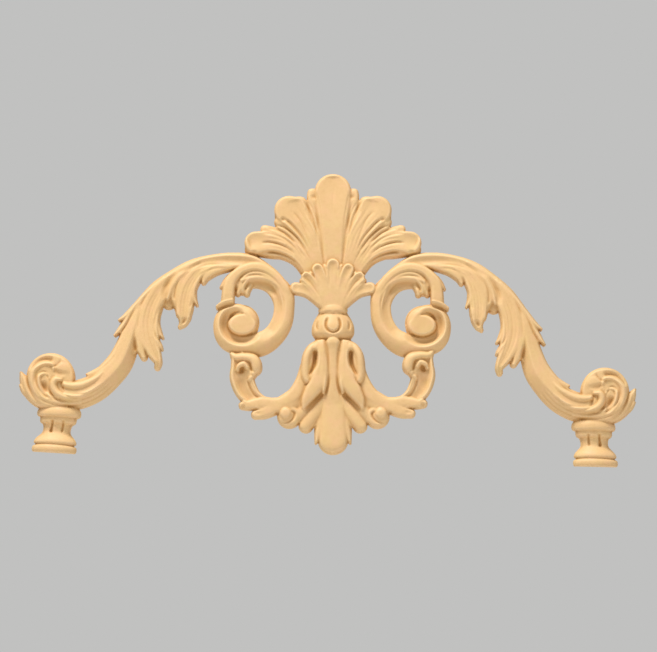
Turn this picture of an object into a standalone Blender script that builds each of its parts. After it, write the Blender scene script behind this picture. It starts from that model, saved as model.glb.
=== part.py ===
"""Moulded wood frieze: a shell crest on two C-scrolls, with leafy arms that
reach out to a volute and a short turned foot at each side. It is one casting
with a flat back on the plane Y = 0 and the carving towards -Y. The origin is on
the back, behind the knot under the shell. Units are metres, +Z is up.

The carving is drawn in plan as strips: each is a spine of rows
(out, up, half width, height) in drawing units, where out is the distance from
the centre line. Every strip becomes a closed loft, and the lofts are fused."""

import math

import bpy
import numpy as np

# Driving sizes, in metres
FRIEZE_WIDTH = 0.614  # over the leaf tips outside the two feet
RELIEF_DEPTH = 0.0205  # from the back to the highest carving
EDGE_DEPTH = 0.005  # least thickness at the edge of the carving
FOOT_WIDTH = 0.0435  # across the foot's lowest moulding
FOOT_HEIGHT = 0.0475  # from the foot's sole to the volute
SCROLL_EYE_WIDTH = 0.028  # across the boss at the heart of a C-scroll
VOLUTE_WIDTH = 0.049  # across the round head above each foot
FOOT_LEAN = math.radians(7.5)  # each foot leans away from the centre as it goes down
RING_TILT = math.radians(3.5)  # and its rings rise outwards
ARM_DROOP = math.radians(4.8)  # how far the flexible right arm hangs below the left one
SCROLL_TURN = math.radians(1.8)  # and how far the right C-scroll is turned by it
BRANCH_TURN = math.radians(-2.4)  # and the branch under the scroll

# Fineness of the casting
CAST_VOXEL = 0.0012  # grain at which the lofts are fused
CAST_TRIANGLES = 8700  # facets kept on the whole casting

# The plan is drawn 614 units wide and the heights 20.5 units deep.
PLAN = FRIEZE_WIDTH / 614
RISE = RELIEF_DEPTH / 20.5
LEAST = EDGE_DEPTH / RISE
BACK = 3.0  # how far the lofts reach behind the back before it is cut flat
SHOULDER = (102.0, 61.5)  # the right arm bends about here
BEND_FROM, BEND_TO = 67.0, 187.0  # over this stretch, out from the centre
SCROLL_HINGE = (60.0, 50.0)
BRANCH_HINGE = (50.0, -80.0)

# Cross-sections: (place across from -1 to 1, share of the height)
ROUND = ((-1, 0.38), (-0.9, 0.68), (-0.6, 0.92), (0, 1), (0.6, 0.92), (0.9, 0.68), (1, 0.38))
FLAT = ((-1, 0.5), (-0.9, 0.8), (-0.7, 0.95), (0, 1), (0.7, 0.95), (0.9, 0.8), (1, 0.5))
VALLEY = ((-1, 0.48), (-0.88, 0.85), (-0.6, 1), (0, 0.8), (0.6, 1), (0.88, 0.85), (1, 0.48))
COVE = ((-1, 0.5), (-0.88, 0.92), (-0.74, 1), (-0.3, 0.7), (0.3, 0.7), (0.84, 0.95), (1, 0.5))
ROOF = ((-1, 0.4), (-0.8, 0.6), (-0.45, 0.85), (-0.1, 1), (0.35, 0.94), (0.8, 0.72), (1, 0.4))


def smooth_rows(rows, steps):
    """Points on a Catmull-Rom curve through the rows, the given number to a span."""
    rows = np.array(rows, float)
    ends = np.vstack((2 * rows[0] - rows[1], rows, 2 * rows[-1] - rows[-2]))
    found = []
    for a, b, c, d in zip(ends, ends[1:], ends[2:], ends[3:]):
        for t in np.arange(steps) / steps:
            found.append(
                0.5 * (2 * b + (c - a) * t + (2 * a - 5 * b + 4 * c - d) * t**2
                       + (3 * b - a - 3 * c + d) * t**3)
            )
    found.append(rows[-1])
    return np.array(found)


def normals_of(points):
    """Unit vectors to the left of a plan curve."""
    along = np.gradient(points, axis=0)
    along /= np.linalg.norm(along, axis=1)[:, None]
    return np.column_stack((-along[:, 1], along[:, 0])), along


def rounded_end(rows, turns=(25, 50, 70, 84)):
    """The rows with a half-round end added, as wide as the last row."""
    _, along = normals_of(rows[-3:, :2])
    tip, radius, height = rows[-1, :2], rows[-1, 2], rows[-1, 3]
    added = [
        (*(tip + along[-1] * radius * math.sin(turn)), radius * math.cos(turn),
         height * (0.8 + 0.2 * math.cos(turn)))
        for turn in map(math.radians, turns)
    ]
    return np.vstack((rows, added))


def strip(rows, profile=ROUND, end="round", steps=4, across=None):
    """A grid of (out, up, height) for one strip, which ends round or in a point."""
    rows = smooth_rows(rows, steps)
    if end == "round":
        rows = rounded_end(rows)
    normals, _ = normals_of(rows[:, :2])
    places, shares = np.array(profile, float).T
    widths = np.maximum(rows[:, 2], 0.3)
    plan = rows[:, None, :2] + normals[:, None] * (widths[:, None] * places)[..., None]
    heights = np.maximum(rows[:, None, 3] * shares, LEAST)
    return np.dstack((plan, heights))


def boss(centre, radius, height, rings=((0, 1), (0.5, 0.97), (0.8, 0.86), (1, 0.6)), sides=28):
    """A round dome, as a grid of rings."""
    turns = np.linspace(0, 2 * math.pi, sides + 1)
    grid = [
        [(centre[0] + radius * max(reach, 0.02) * math.cos(turn),
          centre[1] + radius * max(reach, 0.02) * math.sin(turn), height * share)
         for turn in turns]
        for reach, share in rings
    ]
    return np.array(grid)


def turned(top, sole, rows, depth_share, tilt=0.0, sides=12):
    """Half of a turned piece lying on the back: rows are (distance from the top, radius)."""
    top, sole = np.array(top, float), np.array(sole, float)
    axis = (sole - top) / np.linalg.norm(sole - top)
    side = np.array((math.cos(tilt), math.sin(tilt)))
    turns = np.linspace(0, math.pi, sides + 1)
    grid = []
    for distance, radius in rows:
        plan = top + axis * distance + side * (radius * np.cos(turns))[:, None]
        heights = LEAST * 0.5 + (radius * depth_share - LEAST * 0.5) * np.sin(turns)
        grid.append(np.column_stack((plan, heights)))
    return np.array(grid)


def crest_shell():
    """The big shell: a middle lobe, and three lobes each side with narrow ones between."""
    middle = strip(
        [(0, 20, 6, 10), (0, 60, 9.5, 11.5), (0, 92, 13, 13), (0, 118, 17, 13), (0, 130, 18.3, 12)], FLAT
    )
    side = [
        strip([(9, 40, 3, 9.5), (13, 78, 3.5, 10.5), (17.5, 103, 4.5, 10.5), (21, 122, 4.8, 10), (20.8, 128.5, 4.7, 9.5)]),
        strip([(16, 60, 5, 11), (22, 84, 6, 12), (29, 103, 7.5, 12.5), (34, 118, 8.2, 12.5)], FLAT),
        strip([(11, 40, 4, 10), (17, 64, 6.5, 11.5), (24, 84, 9.5, 13), (34, 99, 12, 13.5), (44, 111.5, 14.8, 13)], FLAT),
        strip([(18, 48, 3, 10), (26, 70, 3.5, 11), (35, 86, 4, 11.5), (46, 97, 4, 11.5), (54.5, 101, 4.8, 10.5)]),
        strip([(18, 42, 3, 9.5), (26, 60, 3.5, 10), (35, 74, 3.5, 10.5), (47, 87, 3.8, 10.5), (58, 93, 4, 10.5),
               (69, 93.5, 4, 10.5)]),
        strip([(19, 36, 4, 10), (26, 55, 5.5, 11), (36, 68, 7, 12), (50, 76, 9, 12.5), (65, 79.5, 10.5, 12.5),
               (77, 78.5, 11.5, 12)], FLAT),
        strip([(18, 30, 4.5, 9), (27, 48, 4.5, 10), (37, 60.5, 4.5, 10.5), (50, 67.5, 5, 10.5), (62, 68.5, 5, 10.5),
               (83, 71.5, 5.4, 10.5)]),
    ]
    return [middle], side


def small_shell():
    """The cupped shell in front of the big one."""
    middle = strip([(0, 14, 4, 15), (0, 35, 4.4, 16.5), (0, 52, 4.8, 17), (0, 59, 5, 16.5)], VALLEY)
    side = [
        strip([(3, 14, 3.5, 15), (7, 33, 3.8, 16.5), (12, 48, 4, 17), (16, 55.5, 4.2, 16.5)], VALLEY),
        strip([(5, 14, 4, 15), (13, 30, 4.2, 16.5), (21, 41, 4.4, 17), (26, 46, 4.5, 16)], VALLEY),
        strip([(7, 12.5, 5, 15), (16, 21.6, 5, 16), (26, 29, 5.6, 16.5), (35.3, 32, 6.6, 15.5)], VALLEY),
        strip([(8, 16, 4, 14), (18, 30, 4.5, 15), (26.5, 39, 5, 15.5), (30, 43, 5.2, 15)]),
    ]
    return [middle], side


def knot():
    """The collar and the bud between the shell and the drop."""
    collar = turned((0, 19), (0, 8), ((0, 13), (2, 15), (5.5, 15.6), (8, 14.8), (11, 13.5)), 1.2)
    bud = turned((0, 10), (0, -18), ((0, 13.5), (4, 15.5), (8, 18), (14, 20.8), (19, 21.2), (24, 19.5), (28, 15)), 0.95)
    return [collar, bud], []


def drop():
    """Twin leaves, the stem between them and the tongue that ends the centre line."""
    stem = strip([(0, -12, 6, 15), (0, -20, 6, 16.5), (0, -32, 4.4, 15.5), (0, -50, 3, 13)])
    tongue = strip(
        [(0, -40, 8, 10), (0, -62, 10, 12), (0, -80, 12, 13), (0, -100, 14, 13.5), (0, -118.5, 15.4, 14)], FLAT
    )
    side = [
        strip([(13.5, -19, 3.5, 15), (21.5, -26.5, 4.8, 17), (25.8, -36, 5, 17.5), (27, -48, 5.2, 17), (27, -57, 5, 16),
               (27, -60, 4, 15)]),
        strip([(10, -15, 6, 15.5), (10.5, -30, 7, 18), (12, -46, 8.5, 18.5), (15, -60, 9.5, 18.5),
               (21, -71, 8, 17.5), (26.5, -80, 5.5, 16), (29, -87, 2.5, 14.5)], FLAT),
        strip([(9, -52, 5, 17), (9, -66, 3.4, 17), (9.5, -74, 1, 15)], end="point"),
        strip([(4, -66, 7, 11), (14, -86, 8, 12), (22, -98, 7.6, 12.5), (27, -105, 7.3, 12)]),
        strip([(8, -60, 8, 10), (20, -78, 8, 11.5), (30, -90, 7, 12), (36, -98, 6, 11)]),
        strip([(28, -56, 5, 11), (32, -68, 6, 11.5), (36, -80, 7, 11.5), (44, -88, 6, 11.5)]),
        strip([(6, -85, 8, 11), (12, -105, 6.5, 11.5), (15.6, -118, 3.2, 11), (17.6, -123.6, 0.8, 10)], end="point"),
    ]
    return [stem, tongue], side


SCROLL_CENTRE = (91, -1)
# Turn of the spiral in degrees, then its outer and its inner edge from the eye's centre.
# A turn of 0 points at the centre line, and a turn of 90 points up.
SCROLL_TURNS = (
    (-48, 18.6, 10), (-28, 18, 9), (0, 16.6, 8), (45, 16.2, 9), (80, 16.8, 10), (112, 20, 11.5), (145, 25, 12.5),
    (176, 27.8, 13), (194, 29.2, 13), (211, 31, 13.5), (232, 32.6, 13.5), (251, 33, 13.5), (275, 34.8, 14), (303, 40, 15.5),
    (325, 43.5, 19), (340, 46.4, 23.4), (358, 50.4, 28), (374, 54, 32.3), (389, 59.3, 36.3), (402, 60.8, 38.4),
    (413, 58, 39.2), (424, 54.5, 38), (434, 52.5, 36),
)


def scroll():
    """The C-scroll, its eye, and the leaves that its upper end breaks into."""
    eye = SCROLL_EYE_WIDTH / PLAN / 2
    edges = smooth_rows(SCROLL_TURNS, 3)
    turns = np.radians(edges[:, 0])
    facing = np.column_stack((-np.cos(turns), np.sin(turns)))
    outer = np.array(SCROLL_CENTRE) + facing * edges[:, 1:2]
    inner = np.array(SCROLL_CENTRE) + facing * edges[:, 2:3]
    places, shares = np.array(ROOF, float).T
    share = ((places + 1) / 2)[None, :, None]
    plan = inner[:, None] * (1 - share) + outer[:, None] * share
    heights = np.broadcast_to(15 * shares, plan.shape[:2])
    band = np.dstack((plan, heights))
    return [
        band,
        boss(SCROLL_CENTRE, eye + 0.5, 16.5),
        strip([(46, 22, 4, 12), (51, 39, 6, 14), (63, 50, 6.5, 15), (78, 53, 6, 15), (92, 51.5, 6, 15),
               (101, 44, 6.3, 15), (105, 33, 7.2, 15), (105.3, 22, 6.6, 15), (106, 16, 6.2, 14)], VALLEY, end="flat"),
        strip([(100, 17, 2, 11), (107, 17, 4, 11), (112, 15.5, 3.8, 10), (114.5, 14.8, 2.3, 9)]),
        strip([(62, 41, 3, 12), (75, 42, 4, 13), (86, 37, 5, 13), (89, 30, 4, 12)]),
        strip([(70, 38, 4, 13), (80, 36.5, 5.5, 13), (86.5, 32, 6, 13), (87.5, 29.5, 4, 12)]),
        strip([(95, 42, 4, 13), (96.5, 34, 4.5, 13), (97.6, 24.5, 3.4, 11)]),
        strip([(74, 46, 4, 12.5), (84, 45.5, 4.5, 12.5), (93, 42.5, 4, 12.5)]),
        strip([(103, 48, 3, 12), (108.5, 41, 3, 12), (112, 36, 1.5, 11)]),
    ]


def arm():
    """The arm from the C-scroll to the volute, with its hanging leaves and outer teeth."""
    return [
        strip([(45, 29, 2.5, 12), (53.5, 42.5, 3.5, 13), (66.5, 53.5, 4.6, 13.5), (82, 60.2, 7, 13.5), (100, 61.4, 8, 13.5),
               (120, 59.4, 8, 13.5), (140, 54, 8.4, 13.5), (158, 44.4, 8.2, 13.5), (175, 32.8, 8, 13.5),
               (187.5, 18.5, 8.3, 14), (197, 0.5, 9.6, 15), (203.6, -20.5, 10.8, 15.5), (211.8, -40.5, 12.8, 16),
               (223, -54.6, 13.4, 16.5), (235.7, -66.3, 13.6, 17), (251, -73.2, 14.2, 17.5), (266, -76, 14, 18)],
              ROUND, end="flat"),
        strip([(98, 60, 4, 13), (118, 58, 5, 14), (133, 50, 7, 14.5), (143, 36, 8, 15), (147.3, 22, 9, 15),
               (148.6, 9, 8.2, 15), (149.2, -0.8, 6, 15.5)], VALLEY),
        strip([(133, 60, 3.5, 14), (146, 52, 4.5, 15), (156, 41, 5.2, 15.5), (162, 30, 4.6, 15), (165, 22, 2.2, 14)]),
        strip([(130, 50, 3.5, 13.5), (138, 37, 3.2, 13.5), (139.2, 25, 3.2, 13), (135.2, 14.6, 1.3, 12)], end="point"),
        strip([(98, 56, 4, 12.5), (115, 51, 4, 13), (125, 44, 3.4, 13), (129, 38.6, 2.5, 12.5)]),
        strip([(161, 43, 6, 13.5), (173, 29.5, 8, 14.5), (181, 14, 9.2, 15), (184.5, -3, 10.2, 15.5),
               (183.5, -18, 9.6, 16), (178.3, -32, 7.6, 16), (174.4, -44.6, 5.1, 15.5)], VALLEY),
        strip([(183, 26, 3, 14), (191, 9, 4, 15), (194, -9, 4.5, 15.5), (192.6, -25, 4.8, 15.5), (188.4, -36.4, 3.5, 14.5)]),
        strip([(165, 30, 3, 13.5), (173, 14, 3.5, 14), (176, 0, 3.5, 14), (173, -12, 3, 13.5),
               (169.8, -17, 1.6, 13)]),
        strip([(177, -3, 3, 14.5), (176, -18, 3.2, 14.5), (172, -26, 2.6, 14), (170.5, -28.5, 1.6, 13.5)]),
        strip([(160, 40, 6.5, 8.5), (163.5, 25, 7.5, 8.5), (164, 18.8, 7, 8.5)]),
        strip([(168, 43, 3, 13.5), (183, 30, 3.5, 14), (194.4, 16.8, 4, 14.5), (205.4, 5.4, 3.5, 14), (214.2, 0, 1.2, 13)],
              end="point"),
        strip([(192, 20, 3.5, 14.5), (202, 6.5, 4, 14.5), (210, -6.5, 3.8, 14), (218.3, -15.4, 1.2, 13)], end="point"),
        strip([(226, -48, 4, 13), (236, -51, 3.5, 13), (244.5, -52.8, 1.6, 12)]),
    ]


VOLUTE_CENTRE = (279, -57.4)


def volute():
    """The round head over the foot, wrapped by curling leaves."""
    radius = VOLUTE_WIDTH / PLAN / 2
    return [
        boss(VOLUTE_CENTRE, radius, 16.5),
        boss((268.2, -46), 10.4, 17.5),
        strip([(262, -78, 8, 14), (275, -81.8, 8.2, 15), (289.5, -79.4, 8.6, 15.5), (300.5, -71, 8, 15),
               (306.6, -61, 5.6, 14), (310.8, -51.6, 1.4, 13)], end="point"),
        strip([(296, -77, 5, 13), (306, -71, 4, 13), (311.8, -64, 1.2, 12)], end="point"),
        strip([(270, -80, 4, 17), (289, -77, 5, 18), (298, -64, 5, 18.5), (298, -52, 4.5, 19), (291.5, -44.5, 4, 19.5),
               (284, -43, 3.5, 19.5), (278.5, -46, 3, 19), (277.5, -51, 2.2, 18)]),
        strip([(272, -79, 3, 18), (284, -75, 3.5, 18.5), (291, -66, 3, 19), (292, -57, 2.5, 19.5), (288, -53.5, 2.2, 19.5),
               (283.5, -55, 2, 19), (281.5, -59, 1.5, 18)]),
        strip([(232, -63, 2.5, 17.5), (246, -73.5, 3, 19), (262, -77, 4, 20), (273.5, -74, 5, 20.5), (278, -66, 5, 20.5),
               (275.5, -60, 4.5, 20.5), (270.5, -60, 2.5, 20)]),
        strip([(232, -57, 3.5, 18), (248, -65, 5, 19), (258, -66, 5, 19.5), (264, -64, 3.5, 19.5)]),
    ]


def foot():
    """The short turned foot, half in the round."""
    widest = FOOT_WIDTH / PLAN / 2
    tall = FOOT_HEIGHT / PLAN
    rows = ((-0.04, 0.86), (0.04, 0.95), (0.12, 1.0), (0.19, 1.0), (0.25, 0.95), (0.29, 0.86), (0.35, 0.76),
            (0.42, 0.66), (0.50, 0.64), (0.58, 0.69), (0.66, 0.82), (0.73, 0.93), (0.80, 0.985), (0.85, 0.95),
            (0.89, 0.985), (0.94, 1.015), (0.98, 1.0), (1.0, 0.96))
    top = np.array((271.4, -84.5))
    lean = np.array((math.sin(FOOT_LEAN), -math.cos(FOOT_LEAN)))
    return [
        turned(top, top + lean * tall, [(share * tall, radius * widest) for share, radius in rows], 0.86, RING_TILT)
    ]


def branch():
    """The leafy branch that joins the drop to the foot of the C-scroll."""
    return [
        strip([(29.5, -44, 3, 12), (34, -60, 4, 13.5), (41.5, -72.5, 5.5, 13.5), (54, -81.5, 7, 13), (67.5, -83.3, 7.6, 13),
               (79, -78.5, 9.5, 13), (86.7, -69, 11.4, 13.5), (91, -57, 12, 14), (92.3, -46, 9.8, 14), (94, -38, 8, 13.5),
               (98, -30, 6, 12)], COVE, end="flat"),
        strip([(101, -34, 3, 13), (96, -37, 4.5, 15), (88, -37, 5, 16.5), (79.5, -40, 6.5, 17.5), (76.7, -47.5, 6.4, 17),
               (79, -53, 4, 15)]),
        strip([(94, -52, 2.5, 14), (92, -43.5, 3, 16), (86.5, -41.5, 3.5, 16.5), (84, -47, 3, 15.5)]),
        strip([(50, -78.5, 4.5, 12.5), (70, -82.6, 6.2, 13), (83, -84.4, 5.4, 13), (89.8, -84.8, 4.2, 12.5)]),
        strip([(42, -76, 5, 12.5), (57, -86, 6.8, 13), (68, -91.6, 6.3, 13), (77, -94, 4.6, 12.5)]),
        boss((43.5, -95.5), 12.2, 12.5),
        boss((47, -93), 6.5, 15.5),
    ]


def turn_about(grid, hinge, turn):
    """The grid with its plan turned about a hinge, outwards and down."""
    away, over = grid[..., 0] - hinge[0], grid[..., 1] - hinge[1]
    out = hinge[0] + away * np.cos(turn) + over * np.sin(turn)
    up = hinge[1] - away * np.sin(turn) + over * np.cos(turn)
    return np.dstack((out, up, grid[..., 2]))


def droop_arm(grid):
    """The right arm's bend, which builds up smoothly along it."""
    share = np.clip((grid[..., 0] - BEND_FROM) / (BEND_TO - BEND_FROM), 0, 1)
    return turn_about(grid, SHOULDER, ARM_DROOP * share * share * (3 - 2 * share))


def turn_scroll(grid):
    return turn_about(grid, SCROLL_HINGE, SCROLL_TURN)


def turn_branch(grid):
    return turn_about(grid, BRANCH_HINGE, BRANCH_TURN)


def placed(grid, side):
    """The grid in metres, on one side of the centre line."""
    return np.dstack((side * grid[..., 0] * PLAN, -grid[..., 2] * RISE, grid[..., 1] * PLAN))


def closed_loft(grid):
    """Vertices and quads of the solid between a carved grid and the plane behind it."""
    rows, columns = grid.shape[:2]
    behind = grid.copy()
    behind[..., 1] = BACK * RISE
    points = np.concatenate((grid.reshape(-1, 3), behind.reshape(-1, 3)))
    index = np.arange(rows * columns).reshape(rows, columns)
    below = index + rows * columns
    front = [(index[i, j], index[i + 1, j], index[i + 1, j + 1], index[i, j + 1])
             for i in range(rows - 1) for j in range(columns - 1)]
    rear = [(below[i, j], below[i, j + 1], below[i + 1, j + 1], below[i + 1, j])
            for i in range(rows - 1) for j in range(columns - 1)]
    rim = [*index[0, :-1], *index[:-1, -1], *index[-1, :0:-1], *index[:0:-1, 0]]
    wall = [(a, b, b + rows * columns, a + rows * columns) for a, b in zip(rim, rim[1:] + rim[:1])]
    return points, [tuple(map(int, face)) for face in front + rear + wall]


def all_grids():
    """Every strip, boss and turned piece of the frieze, placed in metres."""
    grids = []
    for group in (crest_shell, small_shell, knot, drop):
        middle, pairs = group()
        grids.extend(placed(grid, 1) for grid in middle)
        grids.extend(placed(grid, side) for grid in pairs for side in (-1, 1))
    wings = ((scroll, turn_scroll), (branch, turn_branch), (arm, droop_arm), (volute, droop_arm), (foot, droop_arm))
    for group, flexed in wings:
        for grid in group():
            grids.append(placed(grid, -1))
            grids.append(placed(flexed(grid), 1))
    return grids


def all_lofts():
    """One mesh that holds every loft, still overlapping."""
    vertices, faces = [], []
    for grid in all_grids():
        points, quads = closed_loft(grid)
        start = len(vertices)
        vertices.extend(map(tuple, points))
        faces.extend(tuple(start + corner for corner in quad) for quad in quads)
    mesh = bpy.data.meshes.new("frieze")
    mesh.from_pydata(vertices, [], faces)
    return mesh


def face_outwards(mesh):
    """Turns each separate loft's faces to point out."""
    import bmesh

    shape = bmesh.new()
    shape.from_mesh(mesh)
    bmesh.ops.remove_doubles(shape, verts=shape.verts, dist=1e-7)
    bmesh.ops.recalc_face_normals(shape, faces=shape.faces)
    shape.to_mesh(mesh)
    shape.free()


def wood_material():
    material = bpy.data.materials.new("moulded_wood")
    material.use_nodes = True
    shader = material.node_tree.nodes["Principled BSDF"]
    shader.inputs["Base Color"].default_value = (0.78, 0.53, 0.27, 1)
    shader.inputs["Roughness"].default_value = 0.6
    shader.inputs["Metallic"].default_value = 0
    return material


def back_cutter():
    """A block behind the plane Y = 0, which cuts the back flat."""
    bpy.ops.mesh.primitive_cube_add(size=1)
    cutter = bpy.context.object
    cutter.name = "back_cutter"
    cutter.scale = (FRIEZE_WIDTH * 1.3, 0.02, FRIEZE_WIDTH)
    cutter.location = (0, 0.01, 0)
    cutter.hide_render = True
    cutter.display_type = "WIRE"
    return cutter


def make_frieze():
    mesh = all_lofts()
    face_outwards(mesh)
    frieze = bpy.data.objects.new("frieze", mesh)
    bpy.context.collection.objects.link(frieze)
    frieze.data.materials.append(wood_material())
    fuse = frieze.modifiers.new("fuse", "REMESH")
    fuse.mode = "VOXEL"
    fuse.voxel_size = CAST_VOXEL
    bpy.context.view_layer.update()
    graph = bpy.context.evaluated_depsgraph_get()
    quads = len(frieze.evaluated_get(graph).data.polygons)
    facet = frieze.modifiers.new("facet", "DECIMATE")
    facet.ratio = CAST_TRIANGLES / (2 * quads)
    flatten = frieze.modifiers.new("flat_back", "BOOLEAN")
    flatten.operation = "DIFFERENCE"
    flatten.solver = "EXACT"
    flatten.object = back_cutter()
    return frieze


for old in list(bpy.data.objects):
    bpy.data.objects.remove(old)
make_frieze()
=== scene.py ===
"""Looks of the moulded wood frieze. The carving is worked out as one field of
heights over its plan, in drawing units: out is the distance from the centre
line, up is the height over the origin. Ribbons, bosses and turned pieces build
it up, grooves and hollows are cut into it, and the field becomes one closed mesh
with a flat back."""

import math

import bpy
import numpy as np
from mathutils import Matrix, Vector


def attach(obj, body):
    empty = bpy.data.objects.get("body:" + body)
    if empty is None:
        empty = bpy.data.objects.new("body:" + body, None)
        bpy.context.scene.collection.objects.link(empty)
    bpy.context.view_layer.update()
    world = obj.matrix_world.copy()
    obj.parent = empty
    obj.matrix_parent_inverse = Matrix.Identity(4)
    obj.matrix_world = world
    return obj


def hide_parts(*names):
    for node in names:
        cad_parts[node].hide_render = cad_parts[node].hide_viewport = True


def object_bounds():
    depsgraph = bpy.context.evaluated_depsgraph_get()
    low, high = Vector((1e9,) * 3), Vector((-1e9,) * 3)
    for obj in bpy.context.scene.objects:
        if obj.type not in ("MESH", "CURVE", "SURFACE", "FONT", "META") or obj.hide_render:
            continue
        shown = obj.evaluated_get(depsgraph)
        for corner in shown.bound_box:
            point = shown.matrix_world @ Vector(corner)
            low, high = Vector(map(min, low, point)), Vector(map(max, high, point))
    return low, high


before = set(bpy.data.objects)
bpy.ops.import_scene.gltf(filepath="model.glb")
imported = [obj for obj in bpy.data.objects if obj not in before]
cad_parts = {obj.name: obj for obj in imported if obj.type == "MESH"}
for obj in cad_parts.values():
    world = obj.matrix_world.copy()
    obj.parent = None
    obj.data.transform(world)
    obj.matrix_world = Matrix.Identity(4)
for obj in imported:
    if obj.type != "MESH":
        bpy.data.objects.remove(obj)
cad_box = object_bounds()

# The field of heights, in drawing units
CELL = 0.6
OUT_END = 315.0
UP_LOW, UP_HIGH = -150.0, 152.0
DRAWN_WIDTH, DRAWN_DEPTH = 614.1, 20.5  # fitted to the part's box
SKIRT = 1.6  # how far heights are carried past an outline
SOFTENING = 0.6  # how far the mould's edges are rounded
FAR = 1e9

# Strips and cuts
FINE = 5  # points to each span between two rows
PAST_END = 0.999  # how far past a spine's ends a place may lie, in fine rows
STRIP_LEAST, CUT_LEAST = 0.3, 0.2  # the narrowest half widths
SPIRAL_SLANT = 0.97  # a spiral band's true width over its width along the radius
CUT_SPREAD = 1.25  # a cut's reach over the half width in its rows
CUT_FLOOR = 5.5  # what a cut leaves over the back at least
FADE_ROWS = 4.0  # how many fine rows a cut takes to reach its depth
VEIN_WIDTH = 0.8  # half width of a fine line

# How much of the ground round a cell is carving, from 0 to 1
SETTLE_FROM, SETTLE_SPAN = 0.6, 0.25  # where valleys start to fill, and how much on they fill in full
LEAST_SHARE = 0.15  # what a mean is divided by at least

# The right side of the flexible frieze hangs a little lower than the left.
ARM_DROOP = math.radians(4.8)
SCROLL_TURN = math.radians(1.8)
BRANCH_TURN = math.radians(-2.4)
SHOULDER = (102.0, 61.5)
BEND_FROM, BEND_TO = 67.0, 187.0
SCROLL_HINGE = (60.0, 50.0)
BRANCH_HINGE = (50.0, -80.0)

outs = np.arange(0, OUT_END, CELL)
ups = np.arange(UP_LOW, UP_HIGH, CELL)
PLAN_OUT, PLAN_UP = np.meshgrid(outs, ups)


def mirrored(half):
    """A cross-section that is the same on both sides of its middle."""
    return tuple((-place, share) for place, share in half[:0:-1]) + half


# Cross-sections: (place across from -1 to 1, share of the height)
ROUND = mirrored(((0, 1), (0.45, 0.95), (0.75, 0.82), (0.92, 0.62), (1, 0.36)))
FLAT = mirrored(((0, 1), (0.5, 0.98), (0.78, 0.9), (0.93, 0.72), (1, 0.45)))
LIP = mirrored(((0, 1), (0.8, 1), (0.9, 0.98), (0.96, 0.88), (1, 0.7)))
EYE = mirrored(((0, 1), (0.75, 0.99), (0.9, 0.93), (1, 0.6)))
FAN = mirrored(((0, 0.93), (0.6, 0.99), (0.8, 0.95), (0.93, 0.78), (1, 0.5)))
CREST = ((-1, 0.5), (-0.93, 0.75), (-0.78, 0.92), (-0.4, 1), (0, 1), (0.4, 0.99), (0.78, 0.93), (0.93, 0.78),
         (1, 0.55))
FLANK = ((-1, 0.62), (-0.92, 0.82), (-0.75, 0.94), (-0.4, 1), (0, 1), (0.35, 0.92), (0.7, 0.75), (0.9, 0.6),
         (1, 0.46))
HOLLOW = ((-1, 0.5), (-0.93, 0.64), (-0.6, 0.68), (-0.25, 0.8), (0, 0.96), (0.12, 1), (0.5, 0.95),
          (0.8, 0.82), (0.94, 0.64), (1, 0.48))
COVE = ((-1, 0.45), (-0.93, 0.78), (-0.82, 0.98), (-0.7, 0.98), (-0.3, 0.72), (0.2, 0.68), (0.75, 0.9),
        (0.9, 0.86), (1, 0.5))


def smooth_rows(rows, steps):
    """Points on a Catmull-Rom curve through the rows, the given number to a span."""
    rows = np.array(rows, float)
    ends = np.vstack((2 * rows[0] - rows[1], rows, 2 * rows[-1] - rows[-2]))
    found = []
    for a, b, c, d in zip(ends, ends[1:], ends[2:], ends[3:]):
        for t in np.arange(steps) / steps:
            found.append(
                0.5 * (2 * b + (c - a) * t + (2 * a - 5 * b + 4 * c - d) * t**2
                       + (3 * b - a - 3 * c + d) * t**3)
            )
    found.append(rows[-1])
    return np.array(found)


def section(profile, place):
    """The share of the height at a place across, on a smooth curve through the profile."""
    fine = smooth_rows(profile, 6)
    return np.interp(place, fine[:, 0], fine[:, 1])


def window(low, high):
    """The slices of the field that cover a box of the plan."""
    i0, i1 = np.clip(((low[1] - UP_LOW) / CELL, (high[1] - UP_LOW) / CELL + 2), 0, len(ups)).astype(int)
    j0, j1 = np.clip((low[0] / CELL, high[0] / CELL + 2), 0, len(outs)).astype(int)
    return slice(i0, i1), slice(j0, j1)


def trace(points, reach):
    """Each cell's nearest place on a plan curve: (window, distance, side, place as a row index)."""
    points = np.array(points, float)
    whole = window(points.min(axis=0) - reach, points.max(axis=0) + reach)
    x, y = PLAN_OUT[whole], PLAN_UP[whole]
    best = np.full(x.shape, FAR)
    side, place = np.zeros(x.shape), np.zeros(x.shape)
    top, left = whole[0].start, whole[1].start
    last = len(points) - 2
    for k, (a, b) in enumerate(zip(points, points[1:])):
        span = window(np.minimum(a, b) - reach, np.maximum(a, b) + reach)
        part = (slice(span[0].start - top, span[0].stop - top),
                slice(span[1].start - left, span[1].stop - left))
        dx, dy = b - a
        length = max(dx * dx + dy * dy, 1e-9)
        along = ((x[part] - a[0]) * dx + (y[part] - a[1]) * dy) / length
        held = np.clip(along, 0, 1)
        away = np.hypot(x[part] - a[0] - held * dx, y[part] - a[1] - held * dy)
        nearer = away < best[part]
        if k == 0:
            held = np.where(along < 0, np.maximum(along, -PAST_END), held)
        if k == last:
            held = np.where(along > 1, np.minimum(along, 1 + PAST_END), held)
        best[part] = np.where(nearer, away, best[part])
        place[part] = np.where(nearer, k + held, place[part])
        turn = dx * (y[part] - a[1]) - dy * (x[part] - a[0])
        side[part] = np.where(nearer, np.where(turn < 0, -1, 1), side[part])
    return whole, best, side, place


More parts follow.
